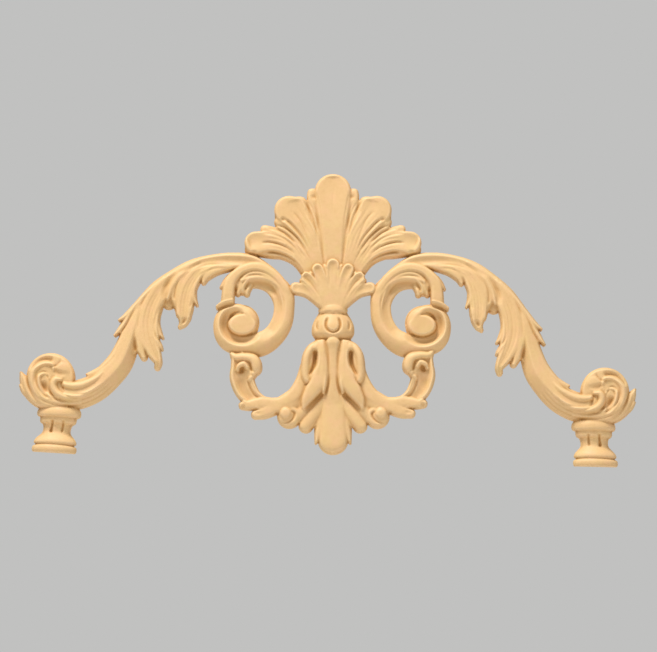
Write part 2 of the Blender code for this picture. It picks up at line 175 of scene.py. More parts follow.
class Relief:
    """Some carving: its heights, and how far inside its outline each cell lies."""

    def __init__(self, flex=None):
        self.flex = flex or (lambda point: point)
        self.height = np.zeros(PLAN_OUT.shape)
        self.inside = np.full(PLAN_OUT.shape, -SKIRT)
        self.skirt = np.zeros(PLAN_OUT.shape)

    def bent(self, rows):
        """Rows whose points are moved as this part of the frieze is flexed."""
        rows = np.array(rows, float)
        rows[:, :2] = [self.flex(point) for point in rows[:, :2]]
        return rows

    def lay(self, whole, height, inside):
        """Puts a form on the carving; the higher of the two shows."""
        seen = inside > 0
        held = self.height[whole]
        self.height[whole] = np.where(seen, np.maximum(held, height), held)
        self.inside[whole] = np.maximum(self.inside[whole], inside)
        near = inside > -SKIRT
        self.skirt[whole] = np.where(near, np.maximum(self.skirt[whole], height), self.skirt[whole])

    def ribbon(self, rows, profile=ROUND, start="flat", end="round"):
        """A strip along a spine of rows (out, up, half width, height)."""
        rows = smooth_rows(self.bent(rows), FINE)
        widths = np.maximum(rows[:, 2], STRIP_LEAST)
        whole, away, side, place = trace(rows[:, :2], widths.max() + 2 * SKIRT)
        index = np.arange(len(rows))
        width = np.interp(place, index, widths)
        across = np.clip(away / width, 0, 1)
        height = np.interp(place, index, rows[:, 3]) * section(profile, side * across)
        inside = width - away
        if start == "flat":
            inside = np.where(place < 0, -SKIRT, inside)
        if end != "round":
            inside = np.where(place > len(rows) - 1, -SKIRT, inside)
        self.lay(whole, height, inside)

    def ribbons(self, profile, strips, **ends):
        """Several strips with one cross-section, each along its own rows."""
        for rows in strips:
            self.ribbon(rows, profile, **ends)

    def around(self, centre, reach, squeeze):
        """The cells round a centre, and how far each is from it, on ovals squeezed upwards."""
        centre = np.array(self.flex(centre))
        whole = window(centre - reach, centre + reach)
        return whole, np.hypot(PLAN_OUT[whole] - centre[0], (PLAN_UP[whole] - centre[1]) / squeeze)

    def boss(self, centre, radius, height, profile=FLAT, squeeze=1.0):
        """A round or oval dome."""
        whole, away = self.around(centre, radius + 2 * SKIRT, squeeze)
        raised = height * section(profile, np.clip(away / radius, 0, 1))
        self.lay(whole, raised, (radius - away) * squeeze)

    def spiral(self, centre, rows, height, profile, later, change):
        """A band round a centre: rows are (turn in degrees, outer edge, inner edge).

        Its profile turns into the later one between the two turns of the change.
        """
        rows = smooth_rows(rows, 8)
        middle = np.array(self.flex(centre))
        ahead = np.array(self.flex((centre[0] + 1, centre[1]))) - middle
        swing = math.degrees(math.atan2(ahead[1], ahead[0]))
        reach = rows[:, 1].max() + 2 * SKIRT
        whole = window(middle - reach, middle + reach)
        x, y = PLAN_OUT[whole] - middle[0], PLAN_UP[whole] - middle[1]
        radius = np.hypot(x, y)
        turn = (np.degrees(np.arctan2(y, -x)) + swing) % 360
        for lap in range(-1, 2):
            now = turn + 360 * lap
            outer, inner = (np.interp(now, rows[:, 0], rows[:, column]) for column in (1, 2))
            place = (radius - inner) / (outer - inner) * 2 - 1
            inside = np.minimum(radius - inner, outer - radius) * SPIRAL_SLANT
            inside = np.where((now < rows[0, 0]) | (now > rows[-1, 0]), -SKIRT, inside)
            place = np.clip(place, -1, 1)
            share = np.clip((now - change[0]) / (change[1] - change[0]), 0, 1)
            raised = section(profile, place) * (1 - share) + section(later, place) * share
            self.lay(whole, height * raised, inside)

    def settle(self, depth, radius=3.2):
        """Fills the valleys between forms up to a depth below the mean around them."""
        mean, share = mean_around(self.height, self.inside, radius)
        deep = np.clip((share - SETTLE_FROM) / SETTLE_SPAN, 0, 1) * (self.inside > 0)
        self.height = np.maximum(self.height, (mean - depth) * deep)

    def lower(self, whole, depth):
        """Takes a depth off the carving, but never down to the back."""
        held = self.height[whole]
        self.height[whole] = np.maximum(held - depth, np.minimum(held, CUT_FLOOR))

    def cut(self, rows, sharp=1.5, steps=FINE, blunt=False):
        """A groove along rows (out, up, half width, depth); a blunt one starts at its full depth."""
        rows = smooth_rows(self.bent(rows), steps)
        widths = np.maximum(rows[:, 2], CUT_LEAST) * CUT_SPREAD
        whole, away, _, place = trace(rows[:, :2], widths.max())
        index = np.arange(len(rows))
        across = np.clip(away / np.interp(place, index, widths), 0, 1)
        start = FADE_ROWS if blunt else place
        fade = np.clip(np.minimum(start, len(rows) - 1 - place) / FADE_ROWS, 0, 1)
        depth = np.interp(place, index, rows[:, 3]) * (1 - across**2) ** sharp
        self.lower(whole, depth * fade * (2 - fade))

    def cuts(self, lines, **kind):
        """Several grooves, each along its own rows."""
        for rows in lines:
            self.cut(rows, **kind)

    def veins(self, rows, places, depth):
        """Fine lines along a strip's rows, at places across it from -1 to 1."""
        rows = smooth_rows(rows, 2)
        ahead = np.gradient(rows[:, :2], axis=0)
        ahead /= np.linalg.norm(ahead, axis=1)[:, None]
        for place in places:
            side = np.column_stack((-ahead[:, 1], ahead[:, 0])) * (rows[:, 2] * place)[:, None]
            line = rows[:, :2] + side
            self.cut([(x, y, VEIN_WIDTH, depth) for x, y in line], steps=3)

    def dish(self, centre, radius, depth, squeeze=1.0):
        """A round or oval hollow."""
        whole, away = self.around(centre, radius, squeeze)
        self.lower(whole, depth * (1 - np.clip(away / radius, 0, 1) ** 2) ** 2)

    def add(self, other):
        """Joins another carving to this one."""
        self.height = np.maximum(self.height, other.height)
        self.inside = np.maximum(self.inside, other.inside)
        self.skirt = np.maximum(self.skirt, other.skirt)


def turn_about(point, hinge, turn):
    """A plan point turned about a hinge, outwards and down."""
    away, over = point[0] - hinge[0], point[1] - hinge[1]
    return (hinge[0] + away * math.cos(turn) + over * math.sin(turn),
            hinge[1] - away * math.sin(turn) + over * math.cos(turn))


def droop_arm(point):
    """The right arm's bend, which builds up smoothly along it."""
    share = min(max((point[0] - BEND_FROM) / (BEND_TO - BEND_FROM), 0), 1)
    return turn_about(point, SHOULDER, ARM_DROOP * share * share * (3 - 2 * share))


def turn_scroll(point):
    """The right C-scroll's small turn."""
    return turn_about(point, SCROLL_HINGE, SCROLL_TURN)


def turn_branch(point):
    """The right branch's small turn."""
    return turn_about(point, BRANCH_HINGE, BRANCH_TURN)


MIDDLE_LOBE = ((0, 60.9, 9.5, 12), (0, 93.2, 13, 13.2), (0, 118.5, 17, 13.2))
UPPER_LOBE = ((17, 64, 6.5, 12), (24, 84.1, 9.5, 13), (34, 98.8, 12, 13.4), (44, 111.4, 14.8, 13))
LOWER_LOBE = ((26, 54.9, 6, 11.5), (36, 68, 7.5, 12.3), (50, 76.1, 9.2, 12.8), (65, 79.6, 10.5, 13))


def crest_shell(relief):
    """The big shell: a middle lobe, and three lobes each side with narrow ones between."""
    relief.ribbons(LIP, [
        ((0, 20.5, 6, 10), *MIDDLE_LOBE, (0, 130.1, 18.3, 13)),
        ((11, 38.7, 4, 10), *UPPER_LOBE),
        ((19, 35.7, 4, 10), *LOWER_LOBE, (77, 78.6, 11.5, 12.8)),
    ])
    relief.ribbons(FLAT, [
        [(8, 40.7, 4, 10), (14, 78.1, 5, 11.2), (18, 103.3, 5.6, 11.6), (21, 123.5, 5.2, 11.2),
         (21, 129.6, 4.8, 10.8)],
        [(15, 58.9, 5, 11), (22, 84.1, 6, 12.3), (29, 103.3, 7.5, 12.8), (33.5, 118, 8.2, 12.4)],
        [(19, 44.8, 5, 10), (28, 71, 7, 11.4), (39, 85.2, 8, 11.5), (49, 94.2, 7, 11.2),
         (54, 100.3, 5, 10.8)],
        [(18, 42.7, 4, 10), (29, 61.9, 5, 11), (41, 78.1, 6, 11.4), (55, 87.7, 5.6, 11.4),
         (65, 91.7, 4.8, 11), (68.5, 92.7, 4.3, 10.6)],
    ])
    relief.boss((38.5, 113.3), 12.2, 13, LIP)
    relief.ribbons(ROUND, [
        [(52.5, 112, 6, 12), (53, 98, 5.2, 11.4)],
        [(18, 29.8, 4.5, 9.5), (27, 47.9, 4.7, 10.2), (37, 60.6, 4.8, 10.7), (50, 67.6, 5.2, 11),
         (62, 68.8, 5.2, 11), (83, 72, 5.4, 10.6)],
    ])
    relief.settle(1.3)
    relief.cuts([
        [(0, 146, 9, 0.8), (0, 143, 12, 1.4), (0, 130, 12.5, 1.1), (0, 112, 10, 0.5), (0, 92, 8, 0.1)],
        [(37.5, 122.5, 8, 0.6), (36.5, 118.5, 9.5, 1.2), (33.5, 109, 9, 1.4), (29.5, 97, 7, 0.9),
         (24.5, 84, 5, 0.3)],
        [(85.5, 79.5, 6, 1.4), (83, 80.2, 8, 2.3), (73, 81.5, 8, 1.6), (60, 80.5, 6, 0.8), (50, 77, 5, 0.2)],
    ])
    relief.dish((19.5, 125), 3.6, 1.1)
    relief.dish((50, 101.8), 3.4, 1.8)
    relief.dish((79, 68.6), 4.4, 1.8, squeeze=0.65)
    relief.dish((66, 63.6), 2, 2)
    relief.dish((46, 75.5), 2, 0.6)
    relief.cuts([
        [(16.5, 131.6, 1.2, 1.2), (14.5, 118.5, 1.2, 1.2), (12, 103.3, 1.2, 1), (10.5, 86.2, 1.2, 0.8),
         (9, 65, 1.1, 0.5)],
        [(19.5, 120.5, 0.9, 0.96), (17, 110.4, 0.9, 1.28), (15, 99.3, 0.9, 1.12), (13.5, 86.2, 0.9, 0.64)],
        [(29.5, 121, 1.1, 1), (25.5, 115.5, 1.2, 1.3), (21.5, 107.4, 1.2, 1.4), (18, 96.3, 1.1, 1.2),
         (16, 84.1, 1, 0.9), (14.5, 71, 1, 0.5)],
        [(25, 120.5, 1, 0.8), (20, 112.4, 1, 1.12), (16.2, 102.3, 1, 1.12), (14.7, 90.2, 1, 0.64)],
        [(49, 102.3, 1.7, 1.6), (43, 98.3, 1.8, 1.92), (37, 91.7, 2, 1.92), (32, 85.2, 2, 1.6),
         (28, 78.1, 1.8, 1.12), (25, 70, 1.5, 0.64)],
        [(57, 96.8, 1.1, 1.44), (49, 94.2, 1.2, 1.76), (43, 90.2, 1.2, 1.76), (37, 84.7, 1.1, 1.6),
         (32, 78.1, 1.1, 1.28), (27, 70, 1, 0.96)],
        [(65, 93.7, 1.4, 1.4), (57, 92.2, 1.5, 1.9), (49, 88.7, 1.4, 1.8), (43, 83.6, 1.3, 1.6),
         (38, 77.6, 1.2, 1.3), (33, 71, 1.1, 1), (28, 62.9, 1, 0.6)],
        [(72, 88.7, 1.6, 1.2), (62, 87.7, 1.7, 1.8), (53, 84.7, 1.6, 1.8), (45, 80.1, 1.5, 1.6),
         (39, 74.1, 1.3, 1.2), (33, 67, 1.1, 1), (29, 60.9, 1, 0.6)],
        [(67, 83.1, 1, 0.48), (58, 82.1, 1, 0.64), (49, 79.3, 1, 0.64), (43, 75.8, 1, 0.48)],
        [(72, 77.9, 1.3, 0.96), (65, 79.1, 1.4, 1.76), (57, 77.8, 1.4, 1.92), (50, 75.1, 1.3, 1.76),
         (43, 71, 1.2, 1.44), (37, 66, 1, 0.96)],
        [(66.5, 69.1, 1.4, 2.4), (59, 68.8, 1.5, 2.4), (51, 66.9, 1.4, 2.08), (43, 63.1, 1.2, 1.6),
         (36, 58, 1, 1.12)],
        [(42, 110.4, 1, 0.48), (35, 104.3, 1, 0.64), (30, 95.3, 1, 0.64), (26, 85.2, 1, 0.48),
         (23, 74.1, 0.9, 0.32)],
        [(34, 100.3, 0.9, 0.4), (29, 91.2, 0.9, 0.48), (25.5, 81.1, 0.9, 0.4)],
    ])
    relief.veins(MIDDLE_LOBE, (0.28, 0.54, 0.78), 0.34)
    relief.veins(UPPER_LOBE, (-0.6, -0.25, 0.2, 0.6), 0.42)
    relief.veins(LOWER_LOBE, (-0.5, 0, 0.5), 0.38)
    relief.cut([(0, 132.6, 0.9, 0.48), (0, 121.5, 0.8, 0.32), (0, 108.4, 0.8, 0.24)])


def small_shell(relief):
    """The cupped shell in front of the big one."""
    relief.ribbons(LIP, [
        [(0, 11.9, 6, 13.3), (0, 30.1, 8, 14), (0, 45.2, 6.6, 15.4), (0, 55.2, 6.5, 16.6)],
        [(4, 11.9, 5, 13.1), (8, 30.1, 6.5, 13.9), (12, 43.2, 6, 15.2), (15.2, 51.2, 5.6, 16.2)],
        [(5, 11.9, 4, 12.4), (15, 29, 6, 13.8), (22, 38.5, 6, 14.8), (26.6, 43.4, 5.2, 15.4)],
    ])
    relief.ribbon([(6, 12, 5, 12.6), (15, 21.1, 5.4, 13.4), (25, 29.2, 5.8, 14.2), (34, 32.2, 6, 14.6),
                   (37, 32.7, 6.2, 14.4)], FLAT)
    relief.ribbons(ROUND, [
        [(3.5, 30.2, 2.4, 14.2), (5.5, 45.4, 2.4, 14.8), (8.4, 55, 2.1, 14.4)],
        [(11, 23.1, 2.4, 14), (19, 39.3, 2.6, 14.4), (22, 47.6, 2.4, 14)],
        [(17, 22.1, 2.6, 13.8), (26, 33.2, 3, 14.6), (30.6, 40.3, 3, 14.4)],
    ])
    relief.settle(1.1)
    relief.cuts([
        [(0, 55.3, 4.5, 2.8), (0, 51, 4.4, 2.5), (0, 45, 3.9, 1.5), (0, 37, 3.1, 0.6), (0, 28, 2.4, 0.1)],
        [(15.2, 51.2, 3.9, 2.8), (14, 47.4, 3.9, 2.5), (12, 41.6, 3.5, 1.5), (9.6, 34, 2.8, 0.6),
         (7.5, 27, 2.2, 0.1)],
        [(26.6, 43.4, 3.5, 2.8), (24, 40.4, 3.6, 2.4), (20.4, 35.8, 3.2, 1.5), (16, 29, 2.6, 0.6),
         (12, 23, 2, 0.1)],
    ], sharp=0.8, blunt=True)
    relief.cut([(36, 32.8, 4, 2.2), (31, 31.4, 3.8, 2.2), (25, 28, 3.2, 1.6), (19, 22.4, 2.6, 0.8),
                (15, 17, 2, 0.3)], sharp=0.9, blunt=True)
    relief.cuts([
        [(4.2, 56.3, 1, 0.8), (3.5, 45.2, 1, 0.8), (3, 32.1, 1, 0.5)],
        [(6.7, 54.3, 1.3, 1.4), (5.5, 49.3, 1.2, 1.2), (4.3, 40.2, 1, 0.7), (3.5, 30.1, 1, 0.4)],
        [(11, 57.5, 1, 0.8), (8.5, 50.3, 1, 1), (6, 41.2, 1, 0.7), (4.5, 31.1, 1, 0.4)],
        [(21.5, 49.3, 1.4, 1.4), (19, 44.3, 1.7, 1.6), (15, 37.2, 1.5, 1.1), (12, 28.1, 1.2, 0.6)],
        [(28.5, 43.3, 0.9, 0.8), (23, 38.7, 1, 0.9), (18, 31.7, 1, 0.7), (14, 24.1, 1, 0.4)],
        [(33, 40.2, 0.9, 0.8), (27, 35.7, 1, 1), (21, 29.6, 1, 1), (16.5, 23.1, 1, 0.5)],
    ])


TWIN_LEAF = ((12, -19.8, 4.6, 15.5), (12, -31, 5.6, 17.2), (12.2, -46, 8.5, 17.8), (14.4, -60, 10, 18),
             (21, -71, 8, 17.5), (26.5, -80, 5.5, 16), (29, -87, 2.5, 14.5))


def drop(relief):
    """Twin leaves, the stem between them and the tongue that ends the centre line."""
    relief.ribbons(ROUND, [
        [(9, -12, 8, 10), (10, -26, 9, 12)],
        [(4, -66, 7, 11), (14, -86, 8, 12), (22, -98, 7.6, 12.5), (27, -105, 7.3, 12)],
        [(8, -60, 8, 10), (20, -78, 8, 11.5), (30, -90, 7, 12), (36, -98, 6, 11)],
        [(28, -56, 5, 11), (32, -68, 6, 11.5), (36, -80, 7, 11.5), (44, -88, 6, 11.5)],
    ])
    relief.ribbons(FLAT, [
        [(0, -23.2, 7.8, 18.8), (0, -28, 6.9, 17.6), (0, -36, 6, 16.6), (0, -50, 5.4, 15.8),
         (0, -68, 7, 14.8), (0, -88, 12, 12.8)],
        [(13, -24, 4.6, 15.2), (15.6, -26.5, 5, 16.6), (17.3, -29, 4.6, 16.6)],
    ], start="round")
    relief.ribbons(FLAT, [
        [(0, -40, 8, 10), (0, -62, 10, 12), (0, -80, 12, 13), (0, -100, 14, 13.5), (0, -118.5, 15.4, 14)],
        [(17, -24, 5, 13), (20, -40, 8, 13.5), (20, -56, 9, 13.5), (24, -70, 7, 13)],
        TWIN_LEAF,
    ])
    relief.ribbon([(16.2, -23.4, 4, 14), (21.5, -28, 4.8, 16.4), (25.8, -36, 5, 17.5), (27.2, -48, 5.2, 17),
                   (27, -57, 5, 16.5), (24, -61.5, 4.2, 16), (20.5, -60, 3, 15.5)], start="round")
    relief.ribbons(ROUND, [
        [(8.8, -50, 4.6, 17.4), (8.4, -63, 3.8, 18.2), (9.8, -73.5, 1.2, 17.2)],
        [(6, -85, 8, 11), (12, -105, 6.5, 11.5), (15.6, -118, 3.2, 11), (17.6, -123.6, 0.8, 10)],
    ], end="flat")
    relief.settle(1.1, 4)
    relief.veins(TWIN_LEAF[1:4], (-0.5, 0, 0.5), 0.3)
    relief.cuts([
        [(6.2, -21.1, 1, 0.5), (5, -30, 1, 0.7), (4.6, -40, 1, 0.7), (4.8, -56, 0.9, 0.4)],
        [(18.6, -28.5, 1.6, 3), (17.4, -34.9, 2.6, 6), (18.2, -43.9, 2.6, 6), (20.6, -50, 2, 4),
         (24, -55.5, 1.2, 2)],
        [(32, -62.5, 0.9, 0.9), (28, -65.1, 1.1, 1.6), (23.5, -61.5, 1, 1.3), (20, -54, 0.9, 0.8)],
        [(28, -66, 0.9, 0.9), (30.5, -70, 0.9, 0.7), (32, -75.1, 0.8, 0.4)],
        [(9.5, -72.5, 1.8, 1.5), (12, -75.5, 2.6, 3.4), (18.5, -82, 2.8, 2.6), (24, -88, 2.6, 1.9),
         (28, -93, 2, 0.8)],
        [(8, -77, 1.4, 1), (6, -70, 1.5, 1.6), (4.3, -62, 1.3, 1.4), (3.8, -53, 1, 0.6)],
        [(13.5, -128.6, 1, 1.5), (13.7, -122, 0.9, 1), (14.5, -114.9, 0.9, 0.3)],
        [(20.5, -113.3, 1.1, 1.8), (18, -108.7, 1, 1.4), (15, -103.7, 0.9, 0.5)],
        [(15, -138.1, 8, 2.4), (0, -139.7, 9, 3.2)],
    ])


TURNED_EDGE = 2.5  # the height towards which a turned piece's sides fall
LEAST_SWELL = 0.03  # the least square of a turned piece's swell


def turned(relief, top, sole, rows, depth_share, tilt=0.0):
    """Half of a turned piece lying on the back: rows are (distance from the top, radius).

    Its depth over the back is a share of its radius, and a tilt turns its rings.
    """
    top, sole = np.array(relief.flex(top)), np.array(relief.flex(sole))
    fine = smooth_rows(rows, 6)
    axis = (sole - top) / np.linalg.norm(sole - top)
    across = np.array((math.cos(tilt), math.sin(tilt)))
    reach = fine[:, 1].max() + 2 * SKIRT
    whole = window(np.minimum(top, sole) - reach, np.maximum(top, sole) + reach)
    x, y = PLAN_OUT[whole] - top[0], PLAN_UP[whole] - top[1]
    # Each cell is a distance down the axis and a distance along the ring.
    spread = axis[0] * across[1] - axis[1] * across[0]
    down = (x * across[1] - y * across[0]) / spread
    aside = (axis[0] * y - axis[1] * x) / spread
    radius = np.interp(down, fine[:, 0], fine[:, 1])
    swell = np.sqrt(np.clip(1 - (aside / radius) ** 2, LEAST_SWELL, 1))
    inside = np.minimum(radius - np.abs(aside), np.minimum(down - fine[0, 0], fine[-1, 0] - down))
    relief.lay(whole, TURNED_EDGE + (radius * depth_share - TURNED_EDGE) * swell, inside)


COLLAR = ((-1, 0.8), (-0.85, 0.94), (-0.6, 1), (-0.2, 1), (0.3, 0.96), (0.7, 0.89), (1, 0.82))
BUD_ROWS = ((0, 13.5), (4, 15.5), (8, 18), (14, 20.6), (19, 21.3), (23, 21), (26.5, 19), (28.6, 17.2))


def knot(relief):
    """The collar and the bud between the shell and the drop."""
    relief.ribbon([(-4, 12, 5.4, 15.2), (0, 12, 5.4, 15.3), (5, 11.6, 5.2, 14.9), (9, 10.5, 4.7, 13.5),
                   (11.4, 9.5, 3.8, 11.6), (13.4, 8.3, 2.8, 9.4)], COLLAR, end="flat")
    turned(relief, (0, 10), (0, -18), BUD_ROWS, 0.9)
    relief.settle(1.5)
    relief.cuts([
        [(14, 5.4, 1.1, 1), (8, 7.8, 1.1, 1.3), (0, 8.8, 1.1, 1.3)],
        [(5, 3.1, 1.3, 2), (6.8, -1.8, 1.5, 3.2), (7, -6.8, 1.5, 3.2), (4.7, -10.8, 1.5, 3),
         (1, -12.4, 1.4, 2.8), (-2, -12.2, 1.4, 2.8)],
        [(15, 0, 1.2, 1.4), (16.4, -5.5, 1.4, 2.4), (15.3, -11, 1.2, 1.6)],
        [(14, -14, 1.4, 0.8), (8, -17.1, 1.4, 1), (4, -14.8, 1.3, 0.8)],
    ])


BAND = ((-1, 0.45), (-0.6, 0.62), (0, 0.8), (0.5, 0.97), (0.85, 1), (1, 0.8))
SCROLL_CENTRE = (91, -1)
SCROLL_TURNS = (
    (-48, 18.6, 4), (-28, 18, 3), (0, 16.6, 3), (30, 16.3, 3), (60, 16.4, 5), (80, 16.8, 7.5),
    (112, 20, 10.5), (145, 25, 12.5), (176, 27.8, 13), (194, 29.2, 13), (211, 31, 13.5), (232, 32.6, 13.5),
    (251, 33, 13.5), (275, 34.8, 14), (303, 40, 15.5), (325, 43.5, 19), (340, 46.4, 23.4), (358, 50.4, 28),
    (374, 54, 32.3), (389, 59.3, 36.3), (402, 60.8, 38.4), (413, 58, 39.2), (424, 54.5, 38), (434, 52.5, 36),
    (444, 49, 34.5), (452, 45, 33.5),
)
STEM = ((-1, 0.32), (-0.93, 0.46), (-0.68, 0.67), (-0.36, 0.9), (-0.2, 1), (0, 1), (0.4, 0.95), (0.75, 0.87),
        (0.92, 0.7), (1, 0.42))


def scroll(relief):
    """The C-scroll, its eye, and the leaves that its upper end breaks into."""
    relief.boss((91, -0.9), 17.5, 6.5)
    relief.spiral(SCROLL_CENTRE, SCROLL_TURNS, 14, FLANK, HOLLOW, change=(312, 345))
    relief.ribbon([(45.5, 8, 2, 9), (45, 18.5, 3.6, 12), (47.4, 29.8, 5, 14), (54, 40, 5.6, 14.4),
                   (62, 47.4, 5.8, 14.6), (71.5, 52.4, 5.8, 14.8), (82, 53.2, 5.6, 14.8),
                   (92, 49.6, 5.4, 14.8), (99.3, 43.6, 5.8, 15), (103.3, 36.4, 6.6, 15),
                   (104.5, 27.3, 6.7, 15), (104.9, 21.8, 6.8, 14.6),
                   (105.2, 18, 6.9, 14)], CREST, start="round", end="flat")
    relief.ribbon([(100, 44, 3, 12), (95, 38, 4.5, 12), (93, 31, 3.6, 11.5)], FLAT)
    relief.ribbons(ROUND, [
        [(92.5, 30.5, 3, 12.5), (91, 39.6, 3.4, 13.2), (86, 44.9, 3.2, 13.8), (79, 47.4, 2.8, 14),
         (71, 46.6, 2.6, 14), (63, 42.4, 2.4, 13.8), (56, 34.5, 2, 13.6), (51.4, 23.4, 1.6, 13.6),
         (49.6, 12, 1.4, 13.6), (50.5, -2, 1.2, 13.4)],
        [(90, 28.5, 2.6, 12), (89.5, 34.5, 2.6, 13.2), (85.5, 40.1, 2.3, 14), (79, 43.4, 2.2, 14.2),
         (72, 43.3, 2.1, 14), (65, 40.1, 2, 13.7), (58.5, 34, 1.8, 13.2), (54, 25.5, 1.4, 12),
         (52.5, 18, 1, 11)],
        [(81, 36.7, 2.5, 11), (85, 31.1, 3, 11.5), (86, 27.6, 3.2, 11)],
        [(94, 30, 3.5, 10.5), (86, 29.5, 3.5, 10.5)],
        [(89, 36.7, 3, 12), (93.5, 30.6, 3.2, 12), (95, 27.6, 2.8, 11.4)],
        [(103, 44.8, 3, 12), (108, 38.7, 3, 12.5), (112, 33.7, 1.5, 11.5)],
        [(85, 7.5, 3, 12.8), (92.5, 8.4, 3, 12), (99, 7, 3, 10)],
    ])
    relief.ribbon([(98.5, 18.8, 3, 15), (104, 17.4, 3.5, 15.4), (110, 15.6, 3.5, 14.6),
                   (114.4, 13.6, 2.6, 13)], BAND)
    relief.settle(1.6)
    relief.cut([(98, 15.6, 1.2, 1), (103, 14.4, 1.4, 2), (109, 12.8, 1.5, 2.2), (114, 10.8, 1.2, 1)])
    relief.cut([(84, 10.5, 2, 0.6), (92, 10.8, 3, 1.2), (100, 9.5, 3.8, 3.2), (106, 4.5, 4.4, 5.8),
                (108, -3, 4.8, 7), (106, -11, 5, 7), (99, -17.3, 5.2, 7), (89.5, -19.2, 5.2, 6),
                (81, -17, 4.8, 3.6), (74, -12.4, 4, 1.2)], sharp=1.2)
    relief.cuts([
        [(56, 25, 4, 1), (61, 32, 5, 2.2), (70, 36.5, 5.2, 2.6), (78, 35, 5, 2.4), (83.5, 31, 3.5, 1.2)],
        [(54, -11, 1.1, 0.2), (50, 2.1, 1.2, 0.6), (48.8, 16.3, 1.2, 0.7), (50.5, 27.4, 1.2, 0.6)],
        [(93.4, 41.5, 1.2, 0.5), (91.6, 45, 1.3, 1.2), (88, 47.6, 1.3, 1.6), (82, 49.7, 1.2, 1.5),
         (75, 49.9, 1.1, 1.4), (67, 47.4, 1.1, 1.2), (59, 41.7, 1.1, 1), (52, 33.2, 1, 0.6),
         (47, 21.1, 0.9, 0.2)],
        [(88, 42.4, 1.2, 0.6), (83.5, 45.2, 1.1, 1.1), (76, 45.8, 1, 0.8), (69, 44.9, 0.9, 0.4)],
        [(96, 36.3, 1.3, 0.8), (97, 30.2, 1.5, 1.5), (97.2, 23.1, 1.5, 1.6)],
        [(105.5, 43.3, 1, 0.3), (109, 36.3, 1.1, 0.7), (110, 29.2, 1, 0.4)],
    ])
    relief.boss((90.3, -4), 14.6, 14.2, EYE, squeeze=0.75)


STEM_ROWS = ((175, 32.8, 7, 12), (187.5, 18.5, 8.3, 13.6), (197, 0.5, 9.6, 15), (203.6, -20.5, 10.8, 15.5),
             (211.8, -40.5, 12.8, 16), (223, -54.6, 13.4, 16.5), (235.7, -66.3, 13.6, 17),
             (251, -73.2, 14.2, 17.5), (266, -76, 14, 18))
HIGH_LEAF = ((98, 60, 4, 13), (118, 58, 5, 13.6), (133, 50, 7, 14), (143, 36, 8.4, 14.4),
             (147.3, 22, 9.6, 14.6), (148.6, 9, 8.8, 14.9), (148.4, 3.2, 7, 14.4), (149.8, -2.4, 4.4, 12.8),
             (152.8, -6, 2.1, 11))
LOW_LEAF = ((161, 43, 6, 13.5), (173, 29.5, 8.4, 14.5), (181, 14, 10, 15), (184.5, -3, 11.2, 15.5),
            (183, -18, 10.6, 16), (178.6, -31, 7.6, 16), (174.2, -41, 4.3, 15), (175, -46.6, 3.2, 12))


